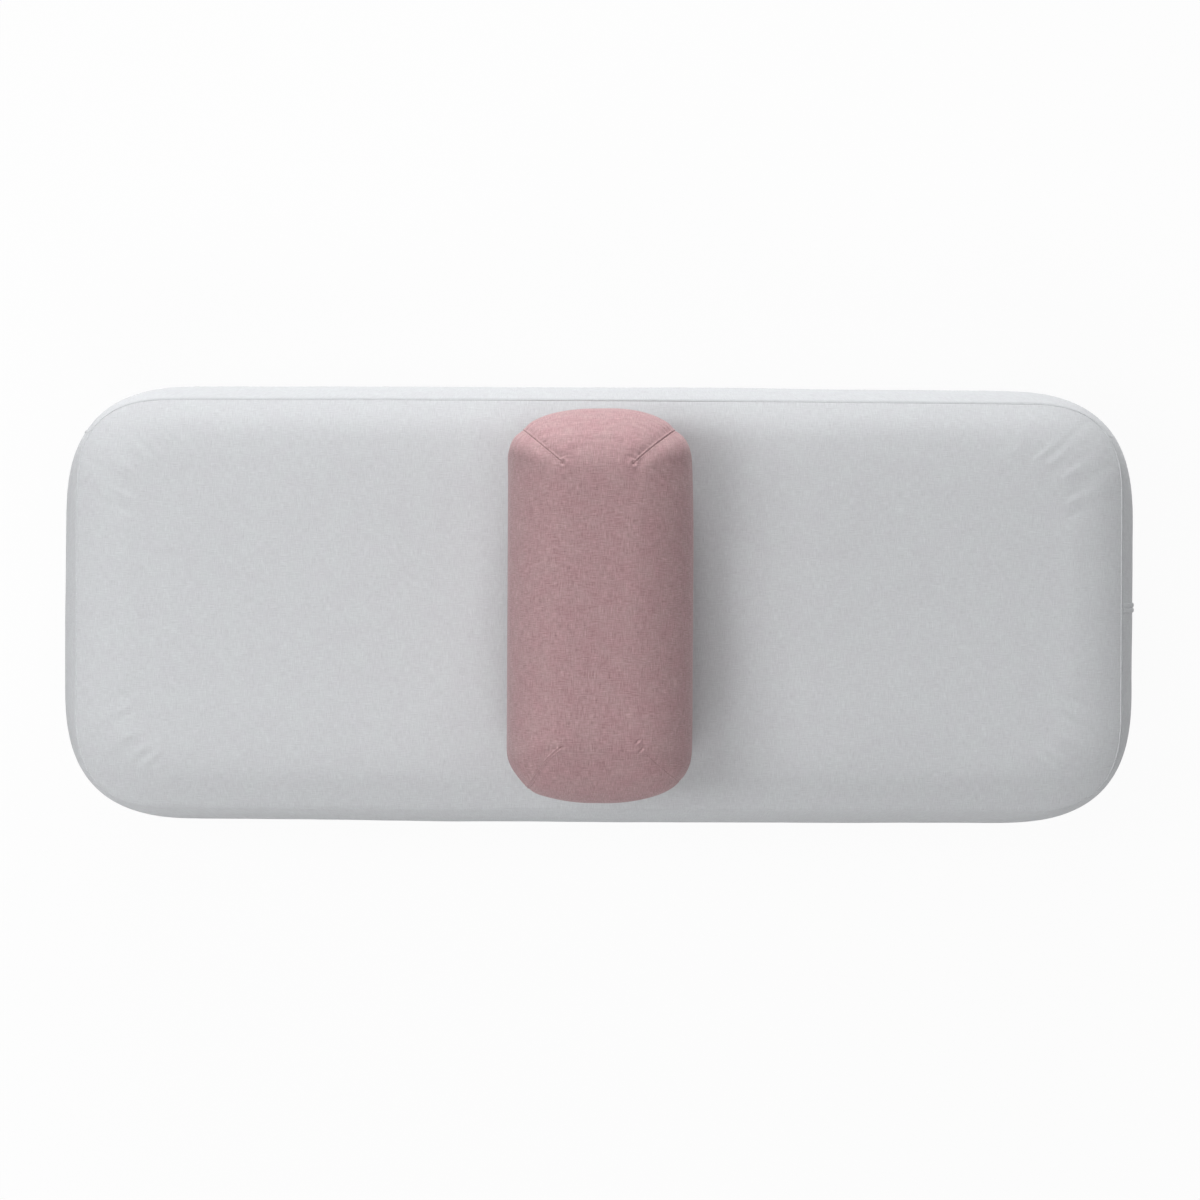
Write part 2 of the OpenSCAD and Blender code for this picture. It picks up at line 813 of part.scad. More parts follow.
// The cover's shell leaves out the faces of the zip's opening and gains its four edges
module bolster_cover() {
    curve = bolster_curve(bolster_steps, zip_edges);
    outer = bolster_rings(curve, dart_depth);
    inner = bolster_rings(moved_in(curve, cover_t), dart_depth);
    m = len(curve);
    n = len(outer[0]);
    out_low = m + zip_place;
    in_low = m - 1 - zip_place;
    edge_places = [n - 1, 0];
    open_quads = [for (i = edge_places) each [[out_low, i], [in_low - 1, i]]];
    edge_quads = concat(
        [for (i = edge_places)
            let (next = (i + 1) % n)
            each [
                [out_low * n + next, out_low * n + i, in_low * n + i, in_low * n + next],
                [
                    (out_low + 1) * n + i, (out_low + 1) * n + next,
                    (in_low - 1) * n + next, (in_low - 1) * n + i
                ]
            ]],
        [
            [(out_low + 1) * n + 1, out_low * n + 1, in_low * n + 1, (in_low - 1) * n + 1],
            [
                out_low * n + n - 1, (out_low + 1) * n + n - 1,
                (in_low - 1) * n + n - 1, in_low * n + n - 1
            ]
        ]
    );
    color([0.68, 0.57, 0.58])
        skin(concat(backwards(inner), outer), open_quads, edge_quads);
}

module bolster_base_panel() {
    color([0.55, 0.45, 0.46])
        translate([0, 0, bolster_base])
            linear_extrude(cover_t)
                polygon(bolster_ring(base_inset + cover_t / 2 + gap, dart_depth));
}

bolster_core = moved_in(bolster_curve(bolster_core_steps, []), core_out);

module bolster_wadding() {
    curve = bolster_curve(bolster_steps, []);
    depths = [for (i = [0 : len(curve) - 1])
        i == 2 || i == 3 ? wadding_out + zip_room : wadding_out];
    color([0.95, 0.95, 0.93])
        shell(
            bolster_rings(moved_in(bolster_curve(bolster_core_steps, []), wadding_in), 0),
            bolster_rings(moved_in(curve, depths), dart_depth)
        );
}

module bolster_foam() {
    color([0.93, 0.88, 0.62])
        skin(bolster_rings(concat([[bolster_core[0][0] + cover_t, cover_t]], bolster_core), 0));
}

// Zip, low on the bolster's right side: X across it, Y along it, Z out of the cover
module at_zip() {
    translate([bolster_half_w - zip_mid[0], 0, bolster_base + zip_mid[1]])
        rotate([0, zip_tilt, 0])
            children();
}
module both_sides() {
    for (turn = [0, 1])
        mirror([turn, 0, 0])
            children();
}

module zip_tapes() {
    color([0.5, 0.42, 0.43])
        at_zip()
            both_sides()
                translate([coil_in, -zip_half, tape_top - tape_t])
                    cube([tape_w, zip_length, tape_t]);
}

module zip_coils() {
    color([0.45, 0.38, 0.39])
        at_zip()
            both_sides()
                translate([coil_in, stop_l - zip_half, tape_top])
                    cube([coil_w, zip_length - 2 * stop_l, coil_h]);
}

module zip_stops() {
    color([0.72, 0.72, 0.74])
        at_zip()
            for (y = [-zip_half, zip_half - stop_l])
                translate([-coil_in - coil_w, y, tape_top])
                    cube([2 * (coil_in + coil_w), stop_l, coil_h]);
}

// Plate of the slider with rounded corners
module slider_plate() {
    linear_extrude(slider_t)
        hull()
            for (x = [-1, 1], y = [0, 1])
                translate([x * (slider_w / 2 - slider_t), slider_t + y * (slider_l - 2 * slider_t)])
                    circle(r = slider_t, $fn = 16);
}

module zip_slider() {
    color([0.72, 0.72, 0.74])
        at_zip()
            translate([0, slider_rest, 0]) {
                translate([0, 0, slider_low - slider_t])
                    slider_plate();
                translate([0, 0, slider_top - slider_t])
                    slider_plate();
                translate([-neck_w / 2, slider_l / 2, slider_low])
                    cube([neck_w, slider_l / 3, slider_top - slider_t - slider_low]);
                both_sides()
                    translate([slider_w / 2 - flange_w, slider_t, tape_top + zip_play])
                        cube([
                            flange_w, slider_l - 2 * slider_t,
                            slider_top - slider_t - tape_top - zip_play
                        ]);
                both_sides()
                    translate([hub_w / 2 + zip_play, slider_l / 2 - hub_r, slider_top])
                        cube([ear_t, 2 * hub_r, pin_z + hub_r - slider_top]);
                translate([-hub_w / 2 - zip_play - ear_t / 2, slider_l / 2, pin_z])
                    rotate([0, 90, 0])
                        cylinder(r = pin_r, h = hub_w + 2 * zip_play + ear_t);
            }
}

// Pull tab, hanging straight out from its pin
module zip_pull_tab() {
    color([0.7, 0.7, 0.72])
        at_zip()
            translate([0, slider_rest + slider_l / 2, pin_z])
                difference() {
                    union() {
                        translate([-hub_w / 2, 0, 0])
                            rotate([0, 90, 0])
                                cylinder(r = hub_r, h = hub_w);
                        translate([-hub_w / 2, -tab_t / 2, 0])
                            cube([hub_w, tab_t, tab_w]);
                        translate([0, tab_t / 2, 0])
                            rotate([90, 0, 0])
                                linear_extrude(tab_t)
                                    tab_outline();
                    }
                    translate([-hub_w / 2 - over, 0, 0])
                        rotate([0, 90, 0])
                            cylinder(r = pin_r + fit, h = hub_w + 2 * over);
                }
}

// Outline of the tab's grip, from beyond the ears to its round end, with a slot
module tab_outline() {
    difference() {
        hull() {
            translate([0, tab_w])
                circle(d = tab_neck_w);
            translate([0, tab_l - tab_w / 2])
                circle(d = tab_w);
        }
        hull()
            for (y = [tab_w * slot_start_share, tab_l - tab_w / 2])
                translate([0, y])
                    circle(d = tab_w / 3);
    }
}

seat_top_panel();
seat_band();
seat_seam_ridge();
end_closing_seam();
seat_wadding();
seat_foam();
long_pad();  // side_pad_back
in_corner(3) long_pad();  // side_pad_front
end_pad();  // side_pad_right
in_corner(1) end_pad();  // side_pad_left
long_webbing();
cross_webbing();
long_rail();  // back_rail
in_corner(3) long_rail();  // front_rail
end_rail();  // right_end_rail
in_corner(1) end_rail();  // left_end_rail
for (k = [0 : 3]) {
    in_corner(k) corner_pad();
    in_corner(k) corner_board();
    in_corner(k) corner_brace();
}
cross_rail();  // cross_rail_right
in_corner(1) cross_rail();  // cross_rail_left
centre_cross_rail();
frame_screws();
dust_cover();
for (k = [0 : 5]) {
    foot(k);
    glide(k);
}
foot_studs();
tee_nuts();
bolster_cover();
bolster_base_panel();
bolster_wadding();
bolster_foam();
zip_tapes();
zip_coils();
zip_stops();
zip_slider();
zip_pull_tab();
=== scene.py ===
import json
import math

import bpy
import numpy as np
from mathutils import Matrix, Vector, noise


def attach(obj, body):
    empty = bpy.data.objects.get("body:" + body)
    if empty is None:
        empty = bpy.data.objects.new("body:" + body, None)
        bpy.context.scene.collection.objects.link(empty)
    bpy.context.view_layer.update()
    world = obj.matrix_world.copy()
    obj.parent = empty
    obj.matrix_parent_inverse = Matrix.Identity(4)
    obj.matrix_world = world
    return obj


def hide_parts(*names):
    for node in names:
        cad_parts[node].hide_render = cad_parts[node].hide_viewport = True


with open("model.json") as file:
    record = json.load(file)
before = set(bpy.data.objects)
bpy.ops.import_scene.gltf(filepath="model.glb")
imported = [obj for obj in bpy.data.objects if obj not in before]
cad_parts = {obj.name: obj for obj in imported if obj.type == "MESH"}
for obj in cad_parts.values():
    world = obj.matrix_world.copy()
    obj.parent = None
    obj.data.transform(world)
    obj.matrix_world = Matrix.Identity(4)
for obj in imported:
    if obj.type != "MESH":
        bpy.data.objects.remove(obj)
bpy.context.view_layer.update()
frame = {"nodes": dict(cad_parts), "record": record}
scene = bpy.context.scene

# Camera: straight above, turned a little, as in the photograph
CAMERA_HEIGHT = 6.0
CAMERA_X = 0.0019
CAMERA_Y = 0.0089
CAMERA_TURN = math.radians(0.306)
FRAME_HALF_WIDTH = 1.1298
FRAME_PLANE = 0.26
SENSOR_WIDTH = 36

camera_data = bpy.data.cameras.new("camera")
camera_data.sensor_width = SENSOR_WIDTH
camera_data.lens = SENSOR_WIDTH / 2 * (CAMERA_HEIGHT - FRAME_PLANE) / FRAME_HALF_WIDTH
camera = bpy.data.objects.new("camera", camera_data)
camera.location = (CAMERA_X, CAMERA_Y, CAMERA_HEIGHT)
camera.rotation_euler = (0, 0, CAMERA_TURN)
scene.collection.objects.link(camera)
scene.camera = camera

# Seat, as in the model
HALF_LENGTH = 1.0
HALF_DEPTH = 0.404
SIDE_BOW = 0.004
CORNER_POWER = 2.75
EXTENT_INSETS = [0, 0.031, 0.131, 0.236]
EXTENTS = [0.264, 0.18, 0.125, 0.06]
SEAT_TOP = 0.42
SEAM_HEIGHT = 0.382
WIDEST_HEIGHT = 0.26
HEM_HEIGHT = 0.074
SEAM_INSET = 0.031
END_RUN_SHARE = 1.2
FOOT_INSET = 0.014
FOOT_FOLD = 0.01
HEM_INSET = FOOT_INSET + FOOT_FOLD + 0.05
EDGE_RUN = 0.1
CROWN_RUN = 0.105
CROWN_RISE = 0.01
EDGE_RISE = SEAT_TOP - SEAM_HEIGHT - CROWN_RISE
EDGE_POWER = 3
BULGE_POWER = 2.4
GAP = 0.0003
PAD_INNER_INSET = 0.0457
FOAM_BASE = 0.2788
RAIL_BASE = 0.0758
SEAM_RADIUS = 0.0015
SEAM_SINK = 0.0003
FRONT_SEAM_SINK = 0.0008
FRONT_SINK_SPAN = (0.28, 0.36)
SEAM_INWARDS = (0.9, -0.43)
SEAM_SIDES = 10
LIP_WIDTH = 0.009
LIP_HEIGHT = 0.005
JOINT_COLUMN = 56
JOINT_WIDTH = 0.005
JOINT_HEIGHT = 0.0019
# Ridges down the band: first row, sides, least height, share behind the surface, and sideways wobble
RIDGE_START_ROW = 4
RIDGE_SIDES = 16
RIDGE_LEAST = 0.2
RIDGE_BACK = 0.25
RIDGE_WOBBLE = 0.07
WOBBLE_COUNT = 9
WOBBLE_SPREAD = 200
# Rows of the sections: the top's edge and crown, and the band's fold, lower part and upper part
EDGE_ROWS = 31
EDGE_SPREAD = 1.2
CROWN_ROWS = 14
FOLD_ROWS = 9
LOWER_ROWS = 26
UPPER_ROWS = 18
WIDEST_ROW = FOLD_ROWS + LOWER_ROWS - 1
# Rows of inset and height behind the surfaces: under the foam, and inside the band from top to hem
UNDER_ROWS = [(0.0465, FOAM_BASE), (0.0375, 0.342), (0.0335, 0.372)]
INNER_ROWS = [
    (0.0328, 0.3755), (0.0365, 0.3520), (0.0440, FOAM_BASE + 0.0015),
    (PAD_INNER_INSET, FOAM_BASE - 0.003), (PAD_INNER_INSET, RAIL_BASE),
    (HEM_INSET, RAIL_BASE - GAP), (HEM_INSET, HEM_HEIGHT)]
# Unevenness as ripples, each with its frequency, seed and height
TOP_WAVES = [(5.0, 3.0, 0.0010), (16.0, 9.0, 0.0004)]
BAND_WAVES = [(4.0, 21.0, 0.0014), (13.0, 31.0, 0.0005)]
SEAM_WAVES = [(60.0, 5.0, 0.12), (200.0, 6.0, 0.05)]
# Heights between which the unevenness fades in or out, and insets for the cloth's movement
TOP_WAVE_START = (SEAM_HEIGHT, SEAM_HEIGHT + 0.02)
BAND_WAVE_START = (0.08, 0.14)
BAND_WAVE_END = (0.33, 0.355)
TOP_CLOTH_START = (SEAM_INSET, SEAM_INSET + 0.02)
TOP_CLOTH_END = (0.09, 0.15)
# Half sizes of the pressed area under the bolster, and the share of the unevenness that is left there
PRESSED_HALF = (0.2, 0.37)
PRESSED_SHARE = 0.3

# Bolster, as in the model
BOLSTER_HALF_WIDTH = 0.166
BOLSTER_HALF_DEPTH = 0.3525
BOLSTER_BASE = 0.4203
BOLSTER_POWER = 2.1
END_EXTENT = 0.156
SIDE_EXTENT = 0.09
TOP_EXTENT = 0.012
TOP_RUN = 0.118
DART_RUN = 0.101
SIDE_TOP = 0.15
ROUND_RISE = 0.124
BOLSTER_CROWN_RISE = 0.006
CROWN_INSET = 0.139
BASE_INSET = 0.062
DART_SHARE = 0.37
DART_DEPTH = 0.0035
ZIP_LOW = (0.034, 0.015)
ZIP_HIGH = (0.008, 0.05)
ZIP_HALF = 0.23
ZIP_GAP = 0.011
ZIP_DEPTH = 0.0046


# Numbers
def smooth_share(t):
    """Smooth step of a share from 0 to 1."""
    return t * t * (3 - 2 * t)


def smooth(value, low, high):
    """0 below low, 1 above high, and a smooth step between them."""
    return smooth_share(np.clip((value - low) / (high - low), 0, 1))


def hump(distance, reach):
    """1 at no distance, falling smoothly towards 0 beyond the reach."""
    return np.exp(-(distance / reach) ** 2)


def lengths(points):
    """Distance along a polyline at each of its points."""
    steps = np.linalg.norm(np.diff(points, axis=0), axis=1)
    return np.concatenate([[0], np.cumsum(steps)])


def resampled(points, shares):
    """Points of a polyline at shares of its length."""
    along = lengths(points)
    return np.stack([np.interp(shares * along[-1], along, axis) for axis in points.T], axis=1)


def ripple(places, frequency, seed):
    """Smooth noise from -1 to 1 at places, an array of points with two or three numbers."""
    flat = np.asarray(places, float).reshape(-1, np.shape(places)[-1]) * frequency
    third = flat[:, 2] if flat.shape[1] > 2 else np.zeros(len(flat))
    values = [noise.noise(Vector((x, y, z + seed))) for x, y, z in zip(flat[:, 0], flat[:, 1], third)]
    return np.array(values).reshape(np.shape(places)[:-1])


def waves(places, parts):
    """Sum of ripples, each with its frequency, seed and height."""
    return sum(ripple(places, frequency, seed) * height for frequency, seed, height in parts)


# Plan curves: rings run anticlockwise from the +X axis
def corner_curve(power, width, depth, count):
    """Superellipse corner from (width, 0) to (0, depth), measured from its centre."""
    angle = np.linspace(0, math.pi / 2, count + 1)
    return np.stack([width * np.cos(angle) ** (2 / power), depth * np.sin(angle) ** (2 / power)], axis=1)


def full_ring(quarter):
    """A ring from its first quadrant, both of whose end points lie on an axis."""
    back = quarter[-2::-1] * (-1, 1)
    left = quarter[1:] * (-1, -1)
    front = quarter[-2:0:-1] * (1, -1)
    return np.concatenate([quarter, back, left, front])


SEAT_END_STEPS = 24
SEAT_CORNER_STEPS = 76
SEAT_LONG_STEPS = 124
SEAT_CORNER_MIDDLE = SEAT_END_STEPS + SEAT_CORNER_STEPS // 2
CORNER_SAMPLES = 720


def end_inset(inset):
    """Inset at the seat's ends, where the section runs farther inwards."""
    return inset * np.where(inset > 0, END_RUN_SHARE, 1)


def seat_ring(inset):
    """The cover's outline at an inset from its widest line."""
    x = HALF_LENGTH - end_inset(inset)
    y = HALF_DEPTH - inset
    extent = np.interp(inset, EXTENT_INSETS, EXTENTS)
    shares = np.linspace(0, 1, SEAT_CORNER_STEPS + 1)
    corner = resampled(corner_curve(CORNER_POWER, extent, extent, CORNER_SAMPLES), shares)
    corner += (x - extent, y - extent)
    end_y = np.linspace(0, y - extent, SEAT_END_STEPS, endpoint=False)
    end = np.stack([np.full(SEAT_END_STEPS, x), end_y], axis=1)
    side_x = np.linspace(x - extent, 0, SEAT_LONG_STEPS + 1)[1:]
    side = np.stack([side_x, np.full(SEAT_LONG_STEPS, y)], axis=1)
    ring = full_ring(np.concatenate([end, corner, side]))
    bow = 1 + SIDE_BOW / HALF_DEPTH * (1 - (ring[:, 0] / HALF_LENGTH) ** 2)
    return np.stack([ring[:, 0], ring[:, 1] * bow], axis=1)


# Steps of a quarter of the bolster's ring, at its side and its end, and their rough lengths
BOLSTER_SIDE_STEPS = 92
BOLSTER_END_STEPS = 40
BOLSTER_SIDE_LENGTH = 0.34
BOLSTER_END_LENGTH = 0.12
DART_COLUMN = BOLSTER_SIDE_STEPS
DART_SAMPLES = 200
FINEST_STEP = 0.0008
SPREAD_POWER = 1.15


def dart_spacing(length, count):
    """Shares from a dart to a sector's middle, close together at the dart."""
    far = np.linspace(0, 1, count + 1)
    fine = FINEST_STEP / length * count
    return far * (fine + (1 - fine) * far ** SPREAD_POWER)


def bolster_ring(inset):
    """The bolster's outline at an inset, with its darts on fixed places of the ring."""
    x = BOLSTER_HALF_WIDTH - inset
    y = BOLSTER_HALF_DEPTH - inset
    part = min(1, max(0, inset) / DART_RUN)
    width = END_EXTENT + (TOP_EXTENT - END_EXTENT) * part
    depth = SIDE_EXTENT + (TOP_EXTENT - SIDE_EXTENT) * part
    corner = corner_curve(BOLSTER_POWER, width, depth, DART_SAMPLES) + (x - width, y - depth)
    dart = round(DART_SAMPLES * DART_SHARE)
    side = np.concatenate([[(x, 0)], corner[:dart + 1]])
    end = np.concatenate([corner[dart:], [(0, y)]])
    side_shares = 1 - dart_spacing(BOLSTER_SIDE_LENGTH, BOLSTER_SIDE_STEPS)[::-1]
    end_shares = dart_spacing(BOLSTER_END_LENGTH, BOLSTER_END_STEPS)
    return full_ring(np.concatenate([resampled(side, side_shares), resampled(end, end_shares)[1:]]))


# Meshes: a loft of rings, closed over its last ring by a patch of quads
def middle_patch(ring, corner):
    """Grid inside a ring, from the left to the right and the front to the back."""
    n = len(ring)
    a = n // 2 - 2 * corner
    b = 2 * corner
    u = np.arange(a + 1)
    v = np.arange(b + 1)
    right = ring[(n - corner + v) % n]
    left = ring[n // 2 + corner - v]
    back = ring[n // 2 - corner - u]
    front = ring[(n // 2 + corner + u) % n]
    across = (u / a)[:, None, None]
    along = (v / b)[None, :, None]
    corners = (
        (1 - across) * (1 - along) * left[0] + across * (1 - along) * right[0]
        + (1 - across) * along * left[-1] + across * along * right[-1]
    )
    return (
        (1 - across) * left[None] + across * right[None]
        + (1 - along) * front[:, None] + along * back[:, None] - corners
    )


def patch_numbers(rows, n, corner):
    """Vertex numbers of the patch's grid: its border is the last ring."""
    a = n // 2 - 2 * corner
    b = 2 * corner
    u = np.arange(a + 1)
    v = np.arange(b + 1)
    numbers = np.zeros((a + 1, b + 1), int)
    numbers[1:-1, 1:-1] = rows * n + np.arange((a - 1) * (b - 1)).reshape(a - 1, b - 1)
    start = (rows - 1) * n
    numbers[-1, v] = start + (n - corner + v) % n
    numbers[0, v] = start + n // 2 + corner - v
    numbers[u, -1] = start + n // 2 - corner - u
    numbers[u, 0] = start + (n // 2 + corner + u) % n
    return numbers


def closed_form(rings, corner):
    """Points and faces of rings that are closed by a patch over the last and a face at the first."""
    rows, n = rings.shape[:2]
    patch = middle_patch(rings[-1], corner)
    points = np.concatenate([rings.reshape(-1, 3), patch[1:-1, 1:-1].reshape(-1, 3)])
    numbers = patch_numbers(rows, n, corner)
    return points, [*loft_quads(rows, n), *quads_of(numbers), list(range(n - 1, -1, -1))]


def quads_of(numbers):
    """Quads of a grid of vertex numbers, anticlockwise where the first index runs right."""
    corners = [numbers[:-1, :-1], numbers[1:, :-1], numbers[1:, 1:], numbers[:-1, 1:]]
    return np.stack(corners, axis=-1).reshape(-1, 4)


def loft_quads(rows, n, around=False):
    """Quads between rings, and between the last and the first if the section is closed."""
    last = rows if around else rows - 1
    j, i = np.meshgrid(np.arange(last), np.arange(n), indexing="ij")
    up = (j + 1) % rows
    onward = (i + 1) % n
    return np.stack([j * n + i, j * n + onward, up * n + onward, up * n + i], axis=-1).reshape(-1, 4)


def loft_weave(left, right, around=False):
    """Cloth places of a loft's quads, from those at each quad's two columns."""
    above_left = np.roll(left, -1, axis=0)
    above_right = np.roll(right, -1, axis=0)
    corners = np.stack([left, right, above_right, above_left], axis=2)
    return (corners if around else corners[:-1]).reshape(-1, 2)


def make_object(name, points, faces, weave, materials):
    """Mesh object with smooth faces. weave holds each face corner's place on the flat cloth."""
    mesh = bpy.data.meshes.new(name)
    mesh.from_pydata(points.tolist(), [], [list(map(int, f)) for f in faces])
    mesh.polygons.foreach_set("use_smooth", [True] * len(mesh.polygons))
    if weave is not None:
        attribute = mesh.attributes.new("weave", "FLOAT_VECTOR", "CORNER")
        flat = np.zeros((len(weave), 3), np.float32)
        flat[:, :2] = weave
        attribute.data.foreach_set("vector", flat.ravel())
    for material in materials:
        mesh.materials.append(material)
    obj = bpy.data.objects.new(name, mesh)
    scene.collection.objects.link(obj)
    return obj


def points_of(obj):
    flat = np.zeros(len(obj.data.vertices) * 3, np.float32)
    obj.data.vertices.foreach_get("co", flat)
    return flat.reshape(-1, 3).astype(float)


def set_points(obj, points):
    obj.data.vertices.foreach_set("co", points.astype(np.float32).ravel())
    obj.data.update()


def move_points(obj, change, start=0):
    """Moves the object's points from a start number on, as many as there are changes."""
    points = points_of(obj)
    points[start:start + len(change)] += change
    set_points(obj, points)


def normals_of(obj):
    flat = np.zeros(len(obj.data.vertices) * 3, np.float32)
    obj.data.vertex_normals.foreach_get("vector", flat)
    return flat.reshape(-1, 3).astype(float)


# Cloth
CLOTH_FRAMES = 20
CLOTH_PRESSURE = 4.0
CLOTH_CAP = 0.004
LEAST_SWELL = 0.01
TOP_EXCESS = 0.01
BOLSTER_EXCESS = 0.03
TOP_LOOSE_ROWS = 8
# The cloth runs take every second row, and every fourth or second column
ROW_SKIP = 2
TOP_COLUMN_SKIP = 4
BOLSTER_COLUMN_SKIP = 2


def inflated(points, faces, held, swell, swell_share):
    """How cloth over the points moves under pressure, where the held points stay.
    swell marks the points, from 0 to 1, round which the cloth is cut too large by a share."""
    obj = make_object("cloth_trial", points, faces, None, [])
    pins = obj.vertex_groups.new(name="held")
    pins.add(np.flatnonzero(held).tolist(), 1.0, "REPLACE")
    modifier = obj.modifiers.new("cloth", "CLOTH")
    settings = modifier.settings
    settings.quality = 6
    settings.mass = 0.3
    settings.tension_stiffness = 20
    settings.compression_stiffness = 20
    settings.shear_stiffness = 8
    settings.bending_stiffness = 0.05
    settings.use_pressure = True
    settings.uniform_pressure_force = CLOTH_PRESSURE
    settings.vertex_group_mass = "held"
    settings.effector_weights.gravity = 0
    loose = obj.vertex_groups.new(name="loose")
    for number in np.flatnonzero(swell > LEAST_SWELL):
        loose.add([int(number)], float(swell[number]), "REPLACE")
    settings.vertex_group_shrink = "loose"
    settings.shrink_min = 0
    settings.shrink_max = -swell_share
    modifier.collision_settings.use_collision = False
    modifier.point_cache.frame_start = 1
    modifier.point_cache.frame_end = CLOTH_FRAMES
    for number in range(1, CLOTH_FRAMES + 1):
        scene.frame_set(number)
    made = obj.evaluated_get(bpy.context.evaluated_depsgraph_get())
    flat = np.zeros(len(points) * 3, np.float32)
    made.data.vertices.foreach_get("co", flat)
    moved = flat.reshape(-1, 3) - points
    scene.frame_set(1)
    bpy.data.objects.remove(obj)
    return moved


def capped(moved):
    """Movements of which none is longer than the cap."""
    size = np.linalg.norm(moved, axis=-1, keepdims=True)
    return moved * CLOTH_CAP / (CLOTH_CAP + size)


def refined(grid, rows, columns):
    """A closed grid of rings spread over more rows and columns, with points put between."""
    down = np.linspace(0, len(grid) - 1, rows)
    low = np.minimum(down.astype(int), len(grid) - 2)
    share = smooth_share(down - low)[:, None, None]
    tall = grid[low] * (1 - share) + grid[low + 1] * share
    n = grid.shape[1]
    around = np.arange(columns) * n / columns
    first = around.astype(int)
    share = smooth_share(around - first)[None, :, None]
    return tall[:, first] * (1 - share) + tall[:, (first + 1) % n] * share


# Materials
def add_node(tree, kind, inputs=None, **settings):
    """Shader node with its settings, and its inputs as values or as linked sockets."""
    made = tree.nodes.new(kind)
    for key, value in settings.items():
        setattr(made, key, value)
    for key, value in (inputs or {}).items():
        if isinstance(value, bpy.types.NodeSocket):
            tree.links.new(value, made.inputs[key])
        else:
            made.inputs[key].default_value = value
    return made


def sums(tree, first, *terms):
    """Sum of a number and of terms, each a socket, its weight and its mean."""
    total = first
    for socket, weight, mean in terms:
        inputs = {0: socket, 1: weight, 2: -mean * weight}
        part = add_node(tree, "ShaderNodeMath", inputs, operation="MULTIPLY_ADD")
        inputs = {0: total, 1: part.outputs[0]}
        total = add_node(tree, "ShaderNodeMath", inputs, operation="ADD").outputs[0]
    return total


def ranged(tree, value, source, target):
    """A value brought from one range to another, and kept inside that."""
    return add_node(tree, "ShaderNodeMapRange", {
        "Value": value, "From Min": source[0], "From Max": source[1],
        "To Min": target[0], "To Max": target[1]}).outputs[0]


def toned(tree, colour, tone):
    """A colour made lighter or darker by a tone."""
    inputs = {"Factor": 1.0, 6: colour, 7: tone}
    return add_node(tree, "ShaderNodeMix", inputs, data_type="RGBA", blend_type="MULTIPLY").outputs[2]


def streaks(tree, place, scale, detail=2.0):
    """Noise that is stretched by different scales along the three directions."""
    mapped = add_node(tree, "ShaderNodeMapping", {"Vector": place, "Scale": scale})
    made = add_node(tree, "ShaderNodeTexNoise", {
        "Vector": mapped.outputs[0], "Scale": 1.0, "Detail": detail, "Roughness": 0.6})
    return made.outputs["Fac"]


def start_material(name, colour, roughness):
    material = bpy.data.materials.new(name)
    material.use_nodes = True
    material.diffuse_color = (*colour, 1)
    tree = material.node_tree
    shader = tree.nodes["Principled BSDF"]
    shader.inputs["Roughness"].default_value = roughness
    return material, tree, shader


def linear(red, green, blue):
    """Linear colour from the usual 0 to 255 numbers."""
    shares = np.array([red, green, blue]) / 255
    curved = ((shares + 0.055) / 1.055) ** 2.4
    return tuple(np.where(shares <= 0.04045, shares / 12.92, curved).tolist())


# Scales of the weave's noises along the cloth's two ways and upwards
SLUB_X = (46, 500, 40)
SLUB_Y = (500, 46, 40)
YARN_X = (70, 950, 90)
YARN_Y = (950, 70, 90)
PATCHES = (48, 48, 48)
CLOUDS = (26, 26, 26)
# How far cloth can face the lamps' way before its painted light stops growing paler
PAINTED_LIGHT_LIMIT = 0.65


